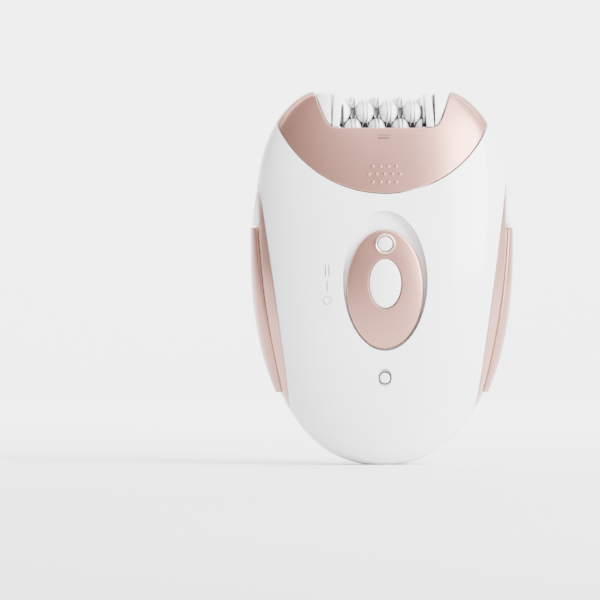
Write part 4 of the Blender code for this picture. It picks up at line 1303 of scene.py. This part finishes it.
for i in range(UNITS - 1):
    show(drum_disc(i), "drum", DRUM_WHITE, "white", f"barrel_disc_{i + 1}")
for i in range(1, UNITS - 1):
    show(drum_rib(i), "drum", DRUM_WHITE, "white")
    show(tweezer_plates(i), "drum", STEEL, "steel", f"tweezer_pair_{i}")
show(drum_core(), "drum", DARK, "dark_plastic")


# ---------------------------------------------------------------- head's inner pieces and the works


def softened(node, width=0.18, limit=35, steps=2):
    """A copy of a CAD node with its hard edges rounded."""
    shape = bmesh.new()
    shape.from_mesh(frame["nodes"][node].data)
    bmesh.ops.remove_doubles(shape, verts=shape.verts, dist=0.002 * MM)
    bmesh.ops.dissolve_limit(shape, angle_limit=math.radians(0.6), verts=shape.verts, edges=shape.edges)
    mesh = bpy.data.meshes.new(node + "_fine")
    shape.to_mesh(mesh)
    shape.free()
    piece = bpy.data.objects.new(node + "_fine", mesh)
    bpy.context.scene.collection.objects.link(piece)
    bevel = piece.modifiers.new("bevel", "BEVEL")
    bevel.width = width * MM
    bevel.segments = steps
    bevel.limit_method = "ANGLE"
    bevel.angle_limit = math.radians(limit)
    bevel.use_clamp_overlap = True
    bpy.context.view_layer.update()
    graph = bpy.context.evaluated_depsgraph_get()
    piece.data = bpy.data.meshes.new_from_object(piece.evaluated_get(graph))
    piece.modifiers.clear()
    piece.data.shade_smooth()
    piece.data.set_sharp_from_angle(angle=math.radians(38))
    made.append(piece)
    return piece


def gap_seal(side):
    """The dark plate between a guard bar and the liner, open below where it slips over the axle; its dark
    colour is painted shade for the gap between them.
    """
    inner = side * 16.18
    bottom, clear = 105.9, 1.8
    outline = box_outline((-5.6, 5.6), (bottom, 117.2), 1.2)
    turns = np.radians(np.linspace(180, 0, 17))
    arch = np.stack([clear * np.cos(turns), DRUM_Z + clear * np.sin(turns)], -1)
    upper = len(outline) * 3 // 4
    outline = np.concatenate([outline[:upper], [(-clear, bottom)], arch, [(clear, bottom)], outline[upper:]])
    return slab("gap_seal", "x", outline, *sorted((inner, inner + side * 0.28)), 0.06)


def shaft(name, x_low, x_high, radius, z):
    """A ground pin along X with chamfered ends."""
    bevel = 0.25
    profile = [(x_low, 0.0), (x_low, radius - bevel), (x_low + bevel, radius), (x_high - bevel, radius)]
    return turned(name, "x", (0.0, z), profile + [(x_high, radius - bevel), (x_high, 0.0)], 48)


def drawn_can(name, axis, centre, low, high, radius, soft=0.6):
    """A closed round can with rounded rims."""
    profile = soften([(low, 0.0), (low, radius), (high, radius), (high, 0.0)], soft, 5)
    return turned(name, axis, centre, profile, 96)


for node, material, slot, width in (
    ("head_frame", INNER_WHITE, "white", 0.15),
    ("guard_plate_left", INNER_WHITE, "white", 0.2),
    ("guard_plate_right", INNER_WHITE, "white", 0.2),
    ("head_base", GREY, "grey_plastic", 0.2),
    ("gear_plate", GREY, "grey_plastic", 0.2),
):
    show(softened(node, width), "head", material, slot, node)
for node, body in (("drum_gear", "drum"), ("idler_gear", "idler"), ("shaft_gear", "cross_drive"),
                   ("crown_gear", "cross_drive")):
    show(softened(node, 0.06, 30), body, NYLON, "nylon", node)
for node, material, slot, width in (
    ("seat_deck", GREY, "grey_plastic", 0.2),
    ("chassis", GREY, "grey_plastic", 0.3),
    ("slide_switch", DARK, "dark_plastic", 0.15),
    ("circuit_board", BOARD, "board", 0.05),
    ("battery_tab_left", STEEL, "steel", 0.05),
    ("battery_tab_right", STEEL, "steel", 0.05),
):
    show(softened(node, width), "body", material, slot, node)
for side, word in ((-1, "left"), (1, "right")):
    show(gap_seal(side), "head", DARK, "dark_plastic")
show(shaft("axle_fine", -15.8, 20.8, 1.5, DRUM_Z), "drum", TURNED_STEEL, "steel", "drum_axle")
show(shaft("idler_pin_fine", 14.6, 20.8, 0.9, 100.0), "idler", TURNED_STEEL, "steel", "idler_pin")
show(shaft("cross_shaft_fine", -7.0, 20.8, 1.0, 94.0), "cross_drive", TURNED_STEEL, "steel", "cross_shaft")
cell = drawn_can("cell_fine", "x", (0.0, 27.0), -24.0, 24.0, 7.0, 0.8)
show(cell, "body", WRAP, "cell_wrap", "battery_cell")

STAYS = {
    DARK: ["motor_end_cap"],
    STEEL: ["motor_can", "release_spring_left", "release_spring_right"],
    TURNED_STEEL: ["motor_rotor"],
    BRASS: ["motor_pinion"],
    CLEAR: ["lamp_led"],
}
for material, names in STAYS.items():
    for name in names:
        for slot in frame["nodes"][name].material_slots:
            slot.material = material


# ---------------------------------------------------------------- room, light and camera


def studio():
    floor = bpy.data.objects.new("floor", bpy.data.meshes.new("floor"))
    shape = bmesh.new()
    deep, high = 1.4, 1.6
    turns = np.linspace(0, math.pi / 2, 16)
    line = [(-2.5, 0.0), (deep, 0.0)]
    line += [(deep + 0.5 * math.sin(t), 0.5 * (1 - math.cos(t))) for t in turns[1:]]
    line.append((deep + 0.5, high + 1.0))
    left = [shape.verts.new((-3.0, y, z)) for y, z in line]
    right = [shape.verts.new((3.0, y, z)) for y, z in line]
    for k in range(len(line) - 1):
        shape.faces.new((left[k], right[k], right[k + 1], left[k + 1]))
    shape.to_mesh(floor.data)
    shape.free()
    floor.data.shade_smooth()
    bpy.context.scene.collection.objects.link(floor)
    n = Nodes("floor_paper")
    paper = n.ramp(n.noise(3.0), [(0.3, (0.86, 0.86, 0.865)), (0.7, (0.89, 0.89, 0.895))])
    n.link(paper, n.shader.inputs["Base Color"])
    n.set(roughness=0.6)
    floor.data.materials.append(n.material)


DIM_AIR = 0.45
BRIGHT_AIR = 2.2


def area_light(name, place, size, power, target=(0.0, 0.0, 0.06), glossy=True):
    data = bpy.data.lights.new(name, "AREA")
    data.shape = "RECTANGLE"
    data.size, data.size_y = size
    data.energy = power
    light = bpy.data.objects.new(name, data)
    light.visible_glossy = glossy
    light.location = place
    light.rotation_euler = (Vector(target) - Vector(place)).to_track_quat("-Z", "Y").to_euler()
    bpy.context.scene.collection.objects.link(light)


def world():
    """Soft air that is bright on the right and dim on the left."""
    sky = bpy.data.worlds.new("studio_air")
    sky.use_nodes = True
    nodes, links = sky.node_tree.nodes, sky.node_tree.links
    air = nodes["Background"]
    air.inputs["Color"].default_value = (0.97, 0.98, 1.0, 1.0)
    sides = nodes.new("ShaderNodeSeparateXYZ")
    links.new(nodes.new("ShaderNodeTexCoord").outputs["Generated"], sides.inputs["Vector"])
    level = nodes.new("ShaderNodeMapRange")
    level.interpolation_type = "SMOOTHSTEP"
    for socket, value in (("From Min", -0.7), ("From Max", 0.8), ("To Min", DIM_AIR), ("To Max", BRIGHT_AIR)):
        level.inputs[socket].default_value = value
    links.new(sides.outputs["X"], level.inputs["Value"])
    links.new(level.outputs["Result"], air.inputs["Strength"])
    bpy.context.scene.world = sky


def camera():
    """Level with the switch, far off, and turned a little to the left of the front."""
    turn, reach = math.radians(-2.26), 2.0
    target = Vector((-0.02593 * math.cos(turn), -0.02593 * math.sin(turn), 0.0521))
    data = bpy.data.cameras.new("photo_view")
    data.sensor_width = 36.0
    data.lens = 36.0 * reach * 1000 / 190.3
    view = bpy.data.objects.new("photo_view", data)
    view.location = target + Vector((math.sin(turn), -math.cos(turn), 0.0)) * reach
    view.rotation_euler = (target - view.location).to_track_quat("-Z", "Y").to_euler()
    bpy.context.scene.collection.objects.link(view)
    bpy.context.scene.camera = view


studio()
area_light("key", (0.95, -0.8, 0.6), (0.9, 1.1), 78.0)
area_light("top", (0.2, -0.3, 0.9), (0.8, 0.5), 9.0)
area_light("front", (-0.25, -1.5, 0.35), (0.9, 0.9), 2.0, glossy=False)
area_light("backdrop", (0.0, 0.5, 1.3), (3.0, 0.6), 130.0, target=(0.0, 1.9, 0.4))
world()
camera()
